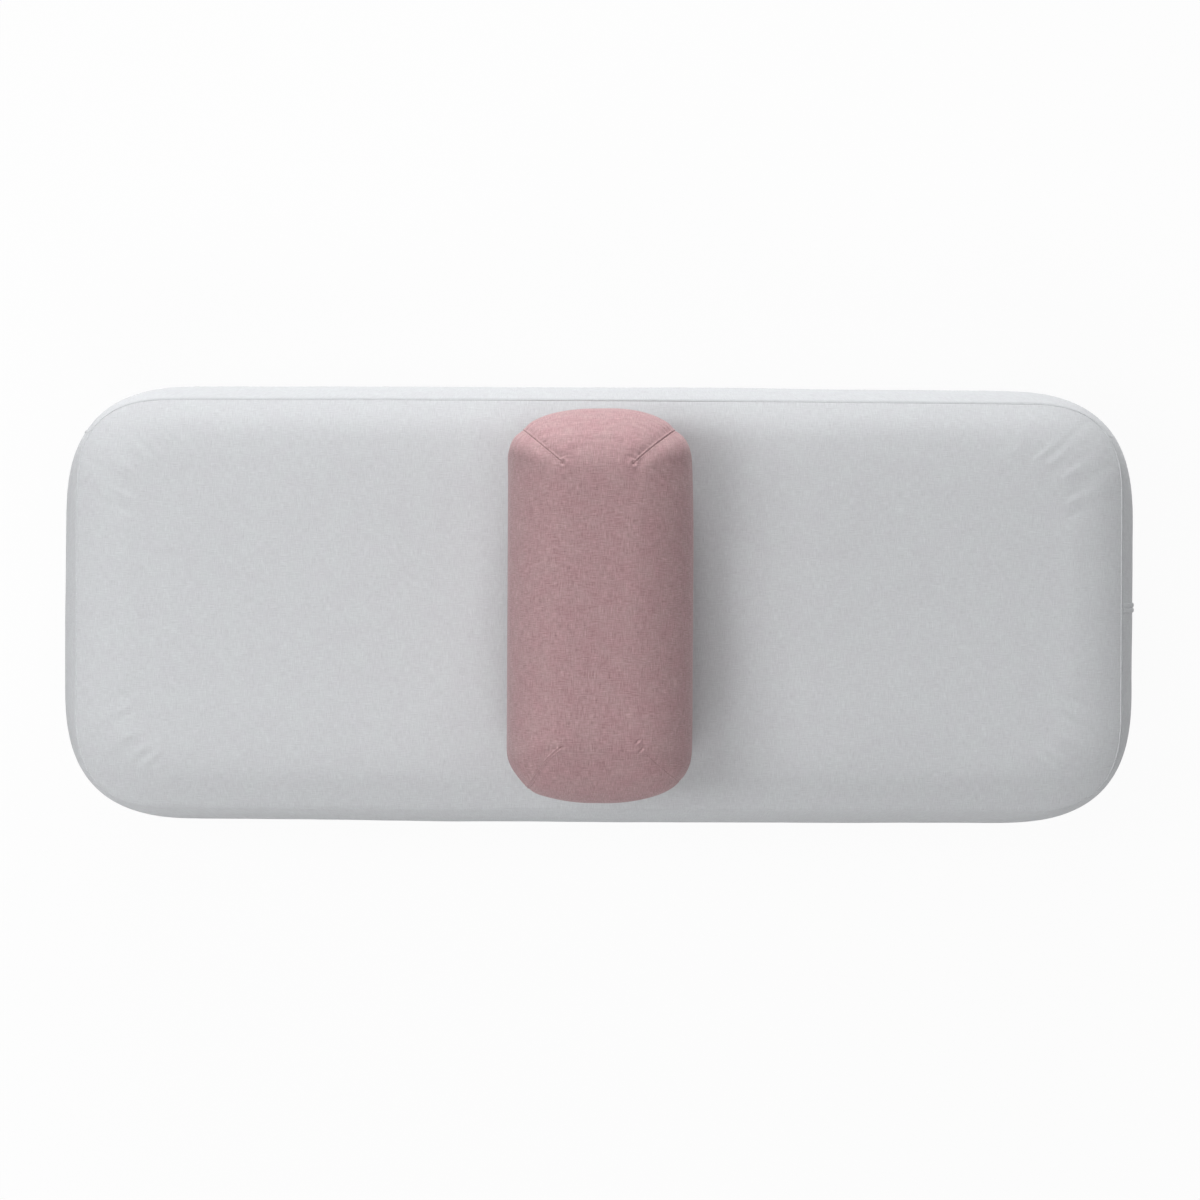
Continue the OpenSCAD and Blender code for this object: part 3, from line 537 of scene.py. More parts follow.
def linen(name, colour, light, slub, tint, sheen=0.05, painted_light_way=None, painted_light_amount=0.0, along_object=False):
    """Slubby linen: yarns both ways, in patches where the one or the other shows more, and a second tint.
    Painted light: cloth that faces a given way, the way the lamps lie, is painted paler."""
    material, tree, shader = start_material(name, colour, 0.9)
    if along_object:
        place = add_node(tree, "ShaderNodeTexCoord").outputs["Object"]
    else:
        place = add_node(tree, "ShaderNodeAttribute", attribute_name="weave").outputs["Vector"]
    slub_x = streaks(tree, place, SLUB_X)
    slub_y = streaks(tree, place, SLUB_Y)
    yarn_x = streaks(tree, place, YARN_X, 1.0)
    yarn_y = streaks(tree, place, YARN_Y, 1.0)
    patch = streaks(tree, place, PATCHES, 1.0)
    cloud = streaks(tree, place, CLOUDS, 4.0)
    way = ranged(tree, patch, (0.4, 0.6), (0.1, 0.9))
    slubs = add_node(tree, "ShaderNodeMix", {0: way, 2: slub_x, 3: slub_y}, data_type="FLOAT").outputs[0]
    tone = sums(
        tree, 1.0, (slubs, slub * 1.6, 0.5), (yarn_x, slub * 1.4, 0.5), (yarn_y, slub * 1.4, 0.5),
        (cloud, slub * 0.2, 0.5))
    # Painted light: paler where the cloth's normal faces the lamps' way
    if painted_light_amount:
        facing = add_node(tree, "ShaderNodeNewGeometry").outputs["Normal"]
        toward = add_node(tree, "ShaderNodeVectorMath", {0: facing, 1: painted_light_way}, operation="DOT_PRODUCT")
        paler = ranged(tree, toward.outputs["Value"], (0.0, PAINTED_LIGHT_LIMIT), (0.0, PAINTED_LIGHT_LIMIT))
        tone = sums(tree, tone, (paler, painted_light_amount, 0.0))
    second = sums(tree, 0.0, (cloud, 1.0, 0.0), (slubs, 0.6, 0.0))
    base = add_node(tree, "ShaderNodeMix", {
        "Factor": ranged(tree, second, (0.65, 0.98), (0.0, tint)),
        6: (*colour, 1), 7: (*light, 1)}, data_type="RGBA")
    tree.links.new(toned(tree, base.outputs[2], tone), shader.inputs["Base Color"])
    height = sums(tree, 0.0, (slubs, 0.8, 0.5), (yarn_x, 0.6, 0.5), (yarn_y, 0.6, 0.5))
    bump = add_node(tree, "ShaderNodeBump", {"Height": height, "Strength": 0.35, "Distance": 0.0005})
    tree.links.new(bump.outputs[0], shader.inputs["Normal"])
    tree.links.new(ranged(tree, yarn_x, (0.3, 0.7), (0.84, 0.96)), shader.inputs["Roughness"])
    shader.inputs["Sheen Weight"].default_value = sheen
    shader.inputs["Sheen Roughness"].default_value = 0.5
    shader.inputs["Specular IOR Level"].default_value = 0.25
    return material


GREY = linear(200, 201, 204)
PALE_GREY = linear(201, 206, 206)
ROSE = linear(166, 133, 136)
PALE_ROSE = linear(166, 145, 144)
LINING = linear(150, 124, 126)
PALE_LINING = linear(160, 136, 138)
# Painted light: the grey cloth is painted paler where it faces the left lamps, the rose cloth where it
# faces the back lamps
grey_linen = linen(
    "grey_linen", GREY, PALE_GREY, slub=0.18, tint=0.4, painted_light_way=(-1, 0, 0), painted_light_amount=0.06)
rose_linen = linen(
    "rose_linen", ROSE, PALE_ROSE, slub=0.52, tint=0.4, sheen=0.12, painted_light_way=(0, 1, 0), painted_light_amount=0.4)
rose_lining = linen(
    "rose_lining", LINING, PALE_LINING, slub=0.12, tint=0.4, along_object=True)


# Seat
def seat_top_height(run):
    """Height of the top panel at a run inwards from the seam: a rounded edge and a crown."""
    rounded = 1 - (1 - np.clip(run / EDGE_RUN, 0, 1)) ** EDGE_POWER
    crown = 1 - (1 - np.clip(run / (EDGE_RUN + CROWN_RUN), 0, 1)) ** 2
    return SEAM_HEIGHT + EDGE_RISE * rounded + CROWN_RISE * crown


def seat_top_rows():
    """Rows of inset and height of the top panel, from the seam to its flat middle."""
    edge = EDGE_RUN * np.linspace(0, 1, EDGE_ROWS) ** EDGE_SPREAD
    crown = np.linspace(EDGE_RUN, EDGE_RUN + CROWN_RUN, CROWN_ROWS + 1)[1:]
    run = np.concatenate([edge, crown])
    return np.stack([SEAM_INSET + run, seat_top_height(run)], axis=1)


def band_rows():
    """Rows of inset and height of the band, from the hem over the widest line to the seam."""
    foot = HEM_HEIGHT + FOOT_FOLD
    turn = np.linspace(0, math.pi / 2, FOLD_ROWS)
    fold_inset = FOOT_INSET + FOOT_FOLD * (1 - np.sin(turn))
    fold = np.stack([fold_inset, foot - FOOT_FOLD * np.cos(turn)], axis=1)
    t = np.linspace(0, 1, LOWER_ROWS + 1)[1:]
    lower = np.stack([FOOT_INSET * (1 - t) ** 2, foot + t * (WIDEST_HEIGHT - foot)], axis=1)
    t = np.linspace(0, 1, UPPER_ROWS + 1)[1:]
    upper_height = WIDEST_HEIGHT + t * (SEAM_HEIGHT - WIDEST_HEIGHT)
    upper = np.stack([SEAM_INSET * t ** BULGE_POWER, upper_height], axis=1)
    return np.concatenate([fold, lower, upper])


def rings_at(ring, rows):
    """Rings in space from rows of inset and height."""
    rings = []
    for inset, height in rows:
        plan = ring(inset)
        rings.append(np.column_stack([plan, np.full(len(plan), height)]))
    return np.stack(rings)


def outward(ring):
    """Outward directions in plan at a ring's points."""
    along = np.roll(ring, -1, axis=0) - np.roll(ring, 1, axis=0)
    side = np.stack([along[:, 1], -along[:, 0]], axis=1)
    return side / np.linalg.norm(side, axis=1, keepdims=True)


def hoop(name, rings, line, down):
    """Hoop of grey linen from rings that close on themselves. Its cloth lies along a line and down."""
    around = lengths(np.concatenate([line, line[:1]])[:, :2])
    left = np.stack(np.meshgrid(around[:-1], down), axis=-1)
    right = np.stack(np.meshgrid(around[1:], down), axis=-1)
    faces = loft_quads(*rings.shape[:2], around=True)
    places = loft_weave(left, right, around=True)
    return make_object(name, rings.reshape(-1, 3), faces, places, [grey_linen])


def build_seat_cushion():
    """Top panel over its foam: a closed form from the seam over the top and under the foam."""
    top = seat_top_rows()
    rows = np.concatenate([UNDER_ROWS, top])
    rings = rings_at(seat_ring, rows)
    n = rings.shape[1]
    first = len(UNDER_ROWS)
    arc = lengths(rows[::-1])[::-1]
    extra = arc - (rows[-1, 0] - rows[:, 0])
    side = outward(rings[-1, :, :2])
    weave = rings[:, :, :2] + side[None] * extra[:, None, None]
    points, faces = closed_form(rings, SEAT_CORNER_MIDDLE)
    numbers = patch_numbers(len(rows), n, SEAT_CORNER_MIDDLE)
    places = np.concatenate([
        loft_weave(weave, np.roll(weave, -1, axis=1)),
        points[quads_of(numbers)][:, :, :2].reshape(-1, 2),
        rings[0, ::-1, :2]])
    obj = make_object("seat_cushion", points, faces, places, [grey_linen])
    coarse = rings[first::ROW_SKIP, ::TOP_COLUMN_SKIP]
    move = top_cloth(coarse, SEAT_CORNER_MIDDLE // TOP_COLUMN_SKIP)
    fine = refined(move, len(rings) - first, n)
    fine -= fine.mean(axis=1, keepdims=True)
    free = smooth(top[:, 0], *TOP_CLOTH_START) * (1 - smooth(top[:, 0], *TOP_CLOTH_END))
    move_points(obj, (fine * free[:, None, None]).reshape(-1, 3), first * n)
    undulate_seat(obj)
    return obj


def top_cloth(coarse, corner):
    """Movement of the top panel's coarse rings as cloth that is held at its first ring."""
    rows, n = coarse.shape[:2]
    points, faces = closed_form(coarse, corner)
    held = np.zeros(len(points), bool)
    held[:n] = True
    swell = np.zeros(len(points))
    loose = min(rows - 1, TOP_LOOSE_ROWS)
    swell[n:(loose + 1) * n] = np.repeat(np.linspace(1, 0, loose), n)
    moved = capped(inflated(points, faces, held, swell, TOP_EXCESS))
    return moved[:rows * n].reshape(rows, n, 3)


def undulate_seat(obj):
    """Slight unevenness of the stuffing, none of it upwards under the bolster."""
    points = points_of(obj)
    wave = waves(points, TOP_WAVES)
    pressed = (np.abs(points[:, :2]) < PRESSED_HALF).all(axis=1)
    wave = np.where(pressed, -np.abs(wave) * PRESSED_SHARE, wave)
    wave *= smooth(points[:, 2], *TOP_WAVE_START)
    move_points(obj, normals_of(obj) * wave[:, None])


def build_seat_band():
    """Band with its folded hem, over the pads round the frame: a closed hoop."""
    outer = band_rows()
    rows = np.concatenate([outer, INNER_ROWS])
    rings = rings_at(seat_ring, rows)
    obj = hoop("seat_band_cushion", rings, rings[WIDEST_ROW], lengths(rows))
    points = points_of(obj)
    wave = waves(points, BAND_WAVES)
    wave *= smooth(points[:, 2], *BAND_WAVE_START) * (1 - smooth(points[:, 2], *BAND_WAVE_END))
    wave[len(outer) * rings.shape[1]:] = 0
    move_points(obj, normals_of(obj) * wave[:, None])
    return obj


seat_cushion = build_seat_cushion()
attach(seat_cushion, "base")
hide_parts("seat_top_panel", "seat_wadding", "seat_foam")

seat_band = build_seat_band()
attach(seat_band, "base")
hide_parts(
    "seat_band", "side_pad_front", "side_pad_back", "side_pad_left", "side_pad_right",
    "corner_pad_back_right", "corner_pad_back_left", "corner_pad_front_left", "corner_pad_front_right")


def build_seam():
    """Raised seam between the band and the top panel, slightly uneven along its length."""
    inset, height = np.array([SEAM_INSET, SEAM_HEIGHT]) + np.array(SEAM_INWARDS) * SEAM_SINK
    angle = np.linspace(0, 2 * math.pi, SEAM_SIDES, endpoint=False)
    rows = np.stack([inset + SEAM_RADIUS * np.cos(angle), height - SEAM_RADIUS * np.sin(angle)], axis=1)
    rings = rings_at(seat_ring, rows)
    rings[:, :, 2] -= FRONT_SEAM_SINK * smooth(-rings[:, :, 1], *FRONT_SINK_SPAN)
    middle = rings.mean(axis=0)
    swell = 1 + waves(middle, SEAM_WAVES)
    rings = middle[None] + (rings - middle[None]) * swell[None, :, None]
    return hoop("seat_seam", rings, middle, angle * SEAM_RADIUS)


seat_seam = build_seam()
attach(seat_seam, "base")
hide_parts("seat_seam_ridge")


def band_ridge(column, offset, width, height):
    """Folded ridge down the band at a column of its ring, fullest at the widest line."""
    rows = band_rows()[RIDGE_START_ROW:-1]
    count = len(rows)
    rings = rings_at(seat_ring, rows)
    out = outward(rings[-1, :, :2])[column]
    along_ring = np.array([-out[1], out[0]])
    step = np.diff(rows, axis=0, prepend=rows[:1] * 2 - rows[1:2])
    normal = np.stack([-step[:, 1], step[:, 0]], axis=1)
    normal /= np.linalg.norm(normal, axis=1, keepdims=True)
    share = np.arange(count) / (count - 1)
    full = height * (RIDGE_LEAST + (1 - RIDGE_LEAST) * np.sin(math.pi * share) ** 2)
    angle = np.linspace(0, 2 * math.pi, RIDGE_SIDES, endpoint=False)
    across = offset - np.cos(angle) * width / 2
    rise = np.sin(angle) * np.where(np.sin(angle) > 0, 1, RIDGE_BACK)
    lift = full[:, None] * rise[None]
    wobble_places = np.stack([share * WOBBLE_COUNT, np.full(count, offset * WOBBLE_SPREAD)], axis=1)
    wobble = ripple(wobble_places, 1.0, 2.0) * width * RIDGE_WOBBLE
    sideways = across[None] + wobble[:, None]
    outwards = -normal[:, :1] * lift
    plan = rings[:, column, :2][:, None] + out * outwards[..., None] + along_ring * sideways[..., None]
    upwards = rows[:, 1:] + normal[:, 1:] * lift
    points = np.concatenate([plan, upwards[..., None]], axis=-1)
    last = (count - 1) * RIDGE_SIDES
    ends = [list(range(RIDGE_SIDES - 1, -1, -1)), list(range(last, last + RIDGE_SIDES))]
    left = np.stack(np.meshgrid(across, lengths(rows)), axis=-1)
    places = [loft_weave(left, np.roll(left, -1, axis=1)), left[0, ::-1], left[-1]]
    return points.reshape(-1, 3), [*loft_quads(count, RIDGE_SIDES), *ends], np.concatenate(places)


def join(name, parts, material):
    """One object from several closed meshes, each with its points, faces and cloth places."""
    start = 0
    all_faces = []
    for points, faces, _ in parts:
        all_faces += [[int(v) + start for v in face] for face in faces]
        start += len(points)
    all_points = np.concatenate([points for points, _, _ in parts])
    all_places = np.concatenate([places for _, _, places in parts])
    return make_object(name, all_points, all_faces, all_places, [material])


lips = [band_ridge(0, side * (LIP_WIDTH + GAP) / 2, LIP_WIDTH, LIP_HEIGHT) for side in (-1, 1)]
closing_seam = join("closing_seam", lips, grey_linen)
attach(closing_seam, "base")
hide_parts("end_closing_seam")

seat_columns = len(seat_ring(0))
joint_columns = (JOINT_COLUMN, seat_columns // 2 - JOINT_COLUMN)
joints = [band_ridge(column, 0, JOINT_WIDTH, JOINT_HEIGHT) for column in joint_columns]
band_joints = join("band_joints", joints, grey_linen)
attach(band_joints, "base")


# Bolster: rows of its section, and the pulls that shape the curves between them
BASE_EDGE = [(0.066, 0.0021), (0.0635, 0.0012), (BASE_INSET, 0.0002)]
ROLL_START = (-0.022, 0.001)
ROLL_PULL = 0.03
ROLL_ROWS = 11
FLAT_ROWS = 4
SLOT_ROWS = 3
SIDE_PULL = 0.06
SIDE_ROWS = 12
UPRIGHT_BASE = 0.108
UPRIGHT_PULL = 0.05
UPRIGHT_ROWS = 8
ROUND_SAMPLES = 400
ROUND_ROWS = 75
DART_END_ROWS = 21
DART_END_REACH = 0.06
TOP_ROWS = 8
# Averaging of the section where the rounding runs into the flat top
SOFT_REACH = 0.024
SOFT_SPAN = (0.055, 0.095)
SOFT_SAMPLES = 41
# Cloth run: first row above the slot, rows held, rows and insets between which its movement fades
CLOTH_START_ROW = 7
HELD_ROWS = 2
CLOTH_FADE_ROWS = 10
CLOTH_FADE = (0.045, CROWN_INSET - 0.004)
ON_DART = 1e-5
LOOSE_WIDTH = 0.03
# Darts: where they fade out, how wide they draw the cloth in, their seam line and the bead beside it
DART_FADE = (DART_RUN - 0.012, DART_RUN + 0.004)
DRAW_WIDTH = 0.014
SEAM_LINE_DEPTH = 0.0012
SEAM_LINE_WIDTH = 0.0011
SEAM_BEAD = 0.0009
BEAD_OFFSET = 0.0026
BEAD_WIDTH = 0.0014
# Puckers across the darts. The steps keep the noise of the darts and of their two sides apart
PUCKER_DEPTH = 0.0024
PUCKER_LENGTH = 0.0062
PUCKER_REACH = 0.016
PUCKER_START = 0.003
PUCKER_DART_STEP = 7.0
PUCKER_SIDE_STEP = 2.0
# Strength of each dart, in the order back right, back left, front left, front right
DRAW_SHARES = np.array([1, 1, 0.2, 0.3])
LINE_SHARES = np.array([1, 0.9, 0.1, 0.4])
BEAD_SHARES = np.array([1, 1, 1.7, 0.5])
PUCKER_SHARES = np.array([1.4, 1, 0.7, 0.8])
FRONT_LEFT = 2
# Creases on the ends and unevenness: where they are, and their ripples
HIGH_SPAN = (0.12, 0.2)
END_SPAN = (0.245, 0.3)
FOLD_WIDTH = 0.07
FOLD_LENGTH = 0.0115
FOLD_START = 0.02
FRONT_FOLD_SHARE = 0.35
FOLD_DRIFT = [(14.0, 41.0, 0.8)]
FOLD_WAVES = [(1.0, 17.0, 0.0012), (2.1, 19.0, 0.0004)]
SOFT_WAVES = [(9.0, 23.0, 0.0012), (28.0, 29.0, 0.00035)]
# Dimples at the darts' inner ends: place in plan and depth
DIMPLES = [(-0.0645, 0.2475, 0.003), (0.0645, 0.2475, 0.003), (-0.0645, -0.2475, 0.0038)]
DIMPLE_WIDTH = 0.0032
DIMPLE_RIM = 0.0006
RIM_OFFSET = 0.0068
RIM_WIDTH = 0.0026
ON_TOP_HEIGHT = 0.2
# Short pulls across the front right dart's inner end
STITCHES = [(0.0635, -0.2365), (0.0695, -0.2515)]
STITCH_ALONG = (0.7, 0.7)
STITCH_BESIDE = (0.7, -0.7)
STITCH_DEPTH = 0.0024
STITCH_LENGTH = 0.0055
STITCH_WIDTH = 0.0016
STITCH_RIM_OFFSET = 0.0036
# Shifts of this cover, each place with its middle in plan and its reach both ways. The front right dart
# lies farther out, the back right one farther in, the front left one steeper. The front right corner
# is fuller, the left side straighter, the back end lower at its middle and the crown fuller
FRONT_DART_PLACE = (0.066, -0.25, 0.045, 0.07)
FRONT_DART_SHIFT = 0.006
BACK_DART_PLACE = (0.1, 0.28, 0.07, 0.08)
BACK_DART_SHIFT = 0.0065
STEEPER_PLACE = (-0.1415, -0.3133, 0.042, 0.042)
STEEPER_SHIFT = (0.0127, -0.0113)
CORNER_PLACE = (0.12, -0.33, 0.05, 0.05)
CORNER_SHIFT = 0.006
LEFT_SHIFT = 0.0062
LEFT_SPAN = (0.07, 0.15)
LEFT_END_SPAN = (0.22, 0.3)
LEFT_END_LOSS = 0.7
BACK_SHIFT = 0.0036
BACK_MIDDLE = -0.035
BACK_REACH = 0.085
BACK_SPAN = (0.25, 0.33)
SHIFTED_SPAN = (0.05, 0.13)
CROWN_SWELL = 0.003
CROWN_SWELL_REACH = 0.062
CROWN_SWELL_SPAN = (0.2, 0.27)


def hermite(start, start_way, end, end_way, count):
    """Points of a smooth curve between two places, without the first."""
    t = np.linspace(0, 1, count + 1)[1:, None]
    start, start_way, end, end_way = (np.array(v, float) for v in (start, start_way, end, end_way))
    return (
        (2 * t ** 3 - 3 * t ** 2 + 1) * start + (t ** 3 - 2 * t ** 2 + t) * start_way
        + (3 * t ** 2 - 2 * t ** 3) * end + (t ** 3 - t ** 2) * end_way)


def straight(start, end, count):
    """Points of a line between two places, without the first."""
    return start + (end - start) * np.linspace(0, 1, count + 1)[1:, None]


def softened(section):
    """Heights of the rounding's section, averaged over a reach where it runs into the flat top."""
    inset, height = section.T
    reach = SOFT_REACH * smooth(inset, *SOFT_SPAN)
    steps = np.linspace(-1, 1, SOFT_SAMPLES)
    weights = 1 - np.abs(steps)
    around = np.interp(inset[:, None] + reach[:, None] * steps, inset, height)
    return (around * weights).sum(axis=1) / weights.sum()


def crown_share(inset):
    """Share of the crown's rise that is reached at an inset."""
    return 1 - (1 - inset / CROWN_INSET) ** 2


def slot_edges():
    """Lower and upper edge of the zip's slot, as inset and height, and the way between them."""
    low, high = np.array(ZIP_LOW), np.array(ZIP_HIGH)
    way = (high - low) / np.linalg.norm(high - low)
    middle = (low + high) / 2
    return middle - way * ZIP_GAP / 2, middle + way * ZIP_GAP / 2, way


def bolster_rows():
    """Rows of inset and height above the base, and the number of the zip slot's first row."""
    low, high = np.array(ZIP_LOW), np.array(ZIP_HIGH)
    slot_low, slot_high, way = slot_edges()
    roll = hermite(BASE_EDGE[-1], ROLL_START, low, way * ROLL_PULL, ROLL_ROWS)
    below = straight(low, slot_low, FLAT_ROWS)
    slot = straight(slot_low, slot_high, SLOT_ROWS)
    above = straight(slot_high, high, FLAT_ROWS)
    side = hermite(high, way * SIDE_PULL, (0, UPRIGHT_BASE), (0, UPRIGHT_PULL), SIDE_ROWS)
    upright_height = np.linspace(UPRIGHT_BASE, SIDE_TOP, UPRIGHT_ROWS + 1)[1:]
    upright = np.stack([np.zeros(UPRIGHT_ROWS), upright_height], axis=1)
    angle = np.linspace(0, math.pi / 2, ROUND_SAMPLES)
    inset = TOP_RUN * (1 - np.cos(angle))
    height = SIDE_TOP + ROUND_RISE * np.sin(angle) + BOLSTER_CROWN_RISE * crown_share(inset)
    fine = np.stack([inset, height], axis=1)
    fine[:, 1] = softened(fine)
    along = lengths(fine)
    dart_end = np.interp(DART_RUN, inset, along) / along[-1]
    closer = np.linspace(dart_end - DART_END_REACH, min(1, dart_end + DART_END_REACH), DART_END_ROWS)
    rounding = resampled(fine, np.union1d(np.linspace(0, 1, ROUND_ROWS), closer))[1:]
    inset = np.linspace(TOP_RUN, CROWN_INSET, TOP_ROWS + 1)[1:]
    drop = (height[-1] - fine[-1, 1]) * (1 - smooth(inset, TOP_RUN, CROWN_INSET))
    top_height = SIDE_TOP + ROUND_RISE + BOLSTER_CROWN_RISE * crown_share(inset) - drop
    top = np.stack([inset, top_height], axis=1)
    rows = np.concatenate([BASE_EDGE, roll, below, slot, above, side, upright, rounding, top])
    return rows, len(BASE_EDGE) + len(roll) + len(below) - 1


def dart_measures(rings):
    """Distance along the ring from the nearest dart, positive towards the end, and the dart's number."""
    rows, n = rings.shape[:2]
    step = np.linalg.norm(np.roll(rings, -1, axis=1) - rings, axis=2)
    along = np.concatenate([np.zeros((rows, 1)), np.cumsum(step, axis=1)], axis=1)
    total = along[:, -1:]
    columns = np.array([DART_COLUMN, n // 2 - DART_COLUMN, n // 2 + DART_COLUMN, n - DART_COLUMN])
    offsets = along[:, :-1, None] - along[:, columns][:, None]
    offsets = (offsets + total[:, :, None] / 2) % total[:, :, None] - total[:, :, None] / 2
    nearest = np.abs(offsets).argmin(axis=2)
    side = np.take_along_axis(offsets, nearest[:, :, None], axis=2)[:, :, 0]
    turn = np.array([1, -1, 1, -1])[nearest]
    return side * turn, nearest


def build_bolster():
    """Cover over its foam, with darts, folds, creases and the zip's slot."""
    rows, slot_row = bolster_rows()
    rings = rings_at(bolster_ring, rows)
    rings[:, :, 2] += BOLSTER_BASE
    n = rings.shape[1]
    corner = DART_COLUMN
    sides, nearest = dart_measures(rings)
    arc = lengths(rows[::-1])[::-1]
    extra = arc - (rows[-1, 0] - rows[:, 0])
    column = np.arange(n)
    in_end = ((column >= corner) & (column < n // 2 - corner)) | (
        (column >= n // 2 + corner) & (column < n - corner))
    x, y = rings[:, :, 0], rings[:, :, 1]
    side_sign = np.where((column < corner) | (column >= n - corner), 1.0, -1.0)
    end_sign = np.where(column < n // 2, 1.0, -1.0)

    def places(shift):
        """Cloth places at the quads' left or right columns, as each quad's own panel has them."""
        px, py = np.roll(x, -shift, axis=1), np.roll(y, -shift, axis=1)
        on_side = np.stack([px + side_sign * extra[:, None], py], axis=-1)
        on_end = np.stack([px, py + end_sign * extra[:, None]], axis=-1)
        return np.where(in_end[None, :, None], on_end, on_side)

    points, faces = closed_form(rings, corner)
    numbers = patch_numbers(len(rows), n, corner)
    weave = np.concatenate([
        loft_weave(places(0), places(1)),
        points[quads_of(numbers)][:, :, :2].reshape(-1, 2),
        rings[0, ::-1, :2]])
    obj = make_object("bolster_cushion", points, faces, weave, [rose_linen])

    size = rings.size // 3
    inset = rows[:, 0][:, None] * np.ones(n)
    reach = 1 - smooth(inset, *DART_FADE)
    reach[rows[:, 1] < SIDE_TOP] = 1
    reach[:len(BASE_EDGE)] = 0
    draw = DART_DEPTH * DRAW_SHARES[nearest] * hump(sides, DRAW_WIDTH) * reach
    move_points(obj, -normals_of(obj)[:size] * draw.reshape(-1, 1))

    start = slot_row + CLOTH_START_ROW
    start += (len(rows) - 1 - start) % ROW_SKIP
    part = (slice(start, None, ROW_SKIP), slice(None, None, BOLSTER_COLUMN_SKIP))
    shaped = points_of(obj)[:size].reshape(rings.shape)
    move = bolster_cloth(shaped[part], corner // BOLSTER_COLUMN_SKIP, sides[part], reach[part])
    fine = refined(move, len(rows) - start, n)
    fine *= smooth(np.arange(len(fine)), 0, CLOTH_FADE_ROWS)[:, None, None]
    fine *= (1 - smooth(rows[start:, 0], *CLOTH_FADE))[:, None, None]
    move_points(obj, fine.reshape(-1, 3), start * n)

    crease_bolster(obj, rings, rows, sides, nearest, reach)
    fit_cover(obj)
    open_slot(obj, rings, slot_row)
    return obj


def bolster_cloth(coarse, corner, sides, reach):
    """Movement of the bolster's upper part as cloth that is held at its darts and low edge."""
    rows, n = coarse.shape[:2]
    points, faces = closed_form(coarse, corner)
    held = np.zeros(len(points), bool)
    held[:HELD_ROWS * n] = True
    held[:rows * n] |= ((np.abs(sides) < ON_DART) & (reach > 0.5)).ravel()
    swell = np.zeros(len(points))
    swell[:rows * n] = (hump(sides, LOOSE_WIDTH) * reach).ravel()
    moved = inflated(points, faces, held, swell, BOLSTER_EXCESS)[:rows * n].reshape(rows, n, 3)
    return capped(moved - moved.mean(axis=1, keepdims=True))


def crease_bolster(obj, rings, rows, sides, nearest, reach):
    """Seam lines in the darts, puckers across them, folds on the ends, dimples and pulls on the top."""
    size = rings.size // 3
    down = lengths(rows)[:, None] * np.ones(rings.shape[1])
    across = np.abs(sides)
    high = smooth(rows[:, 1], *HIGH_SPAN)[:, None]
    on_top = (rows[:, 1] > ON_TOP_HEIGHT)[:, None]

    line = -SEAM_LINE_DEPTH * LINE_SHARES[nearest] * hump(sides, SEAM_LINE_WIDTH)
    bead_side = np.where(nearest == FRONT_LEFT, across, sides)
    bead = SEAM_BEAD * BEAD_SHARES[nearest] * hump(bead_side - BEAD_OFFSET, BEAD_WIDTH)
    apart = nearest * PUCKER_DART_STEP + np.sign(sides) * PUCKER_SIDE_STEP
    pucker = ripple(np.stack([down / PUCKER_LENGTH, apart], axis=-1), 1.0, 11.0)
    pucker *= PUCKER_DEPTH * PUCKER_SHARES[nearest]
    pucker *= np.exp(-across / PUCKER_REACH) * (1 - np.exp(-across / PUCKER_START))
    change = (line + bead) * reach + pucker * reach * high

    at_end = smooth(np.abs(rings[:, :, 1]), *END_SPAN) * np.where(rings[:, :, 1] > 0, 1, FRONT_FOLD_SHARE)
    fan = np.stack([rings[:, :, 0] / FOLD_WIDTH, down / FOLD_LENGTH + waves(rings, FOLD_DRIFT)], axis=-1)
    change += waves(fan, FOLD_WAVES) * at_end * high * (1 - np.exp(-across / FOLD_START))
    change += waves(rings, SOFT_WAVES) * high * (1 - smooth(rows[:, 0], DART_RUN, CROWN_INSET)[:, None])

    for x, y, depth in DIMPLES:
        distance = np.linalg.norm(rings[:, :, :2] - (x, y), axis=2)
        change -= depth * hump(distance, DIMPLE_WIDTH) * on_top
        change += DIMPLE_RIM * hump(distance - RIM_OFFSET, RIM_WIDTH) * on_top
    for place in STITCHES:
        away = rings[:, :, :2] - place
        beside = away @ STITCH_BESIDE
        depth = STITCH_DEPTH * hump(away @ STITCH_ALONG, STITCH_LENGTH) * on_top
        change -= depth * hump(beside, STITCH_WIDTH)
        change += depth / 2 * hump(beside - STITCH_RIM_OFFSET, STITCH_WIDTH)
    move_points(obj, normals_of(obj)[:size] * change.reshape(-1, 1))


def fit_cover(obj):
    """Sideways shifts of this cover above its low part, and its fuller crown."""
    x, y, z = points_of(obj).T
    height = z - BOLSTER_BASE

    def near(middle_x, middle_y, reach_x, reach_y):
        return hump(x - middle_x, reach_x) * hump(y - middle_y, reach_y)

    steeper = near(*STEEPER_PLACE)
    left = smooth(-x, *LEFT_SPAN) * (1 - LEFT_END_LOSS * smooth(np.abs(y), *LEFT_END_SPAN))
    back = hump(x - BACK_MIDDLE, BACK_REACH) * smooth(y, *BACK_SPAN)
    shift_x = (
        FRONT_DART_SHIFT * near(*FRONT_DART_PLACE) - BACK_DART_SHIFT * near(*BACK_DART_PLACE)
        + STEEPER_SHIFT[0] * steeper + CORNER_SHIFT * near(*CORNER_PLACE) + LEFT_SHIFT * left)
    shift_y = STEEPER_SHIFT[1] * steeper - BACK_SHIFT * back
    shifted = smooth(height, *SHIFTED_SPAN)
    swell = CROWN_SWELL * hump(x, CROWN_SWELL_REACH) * smooth(height, *CROWN_SWELL_SPAN)
    move_points(obj, np.stack([shift_x * shifted, shift_y * shifted, swell], axis=1))


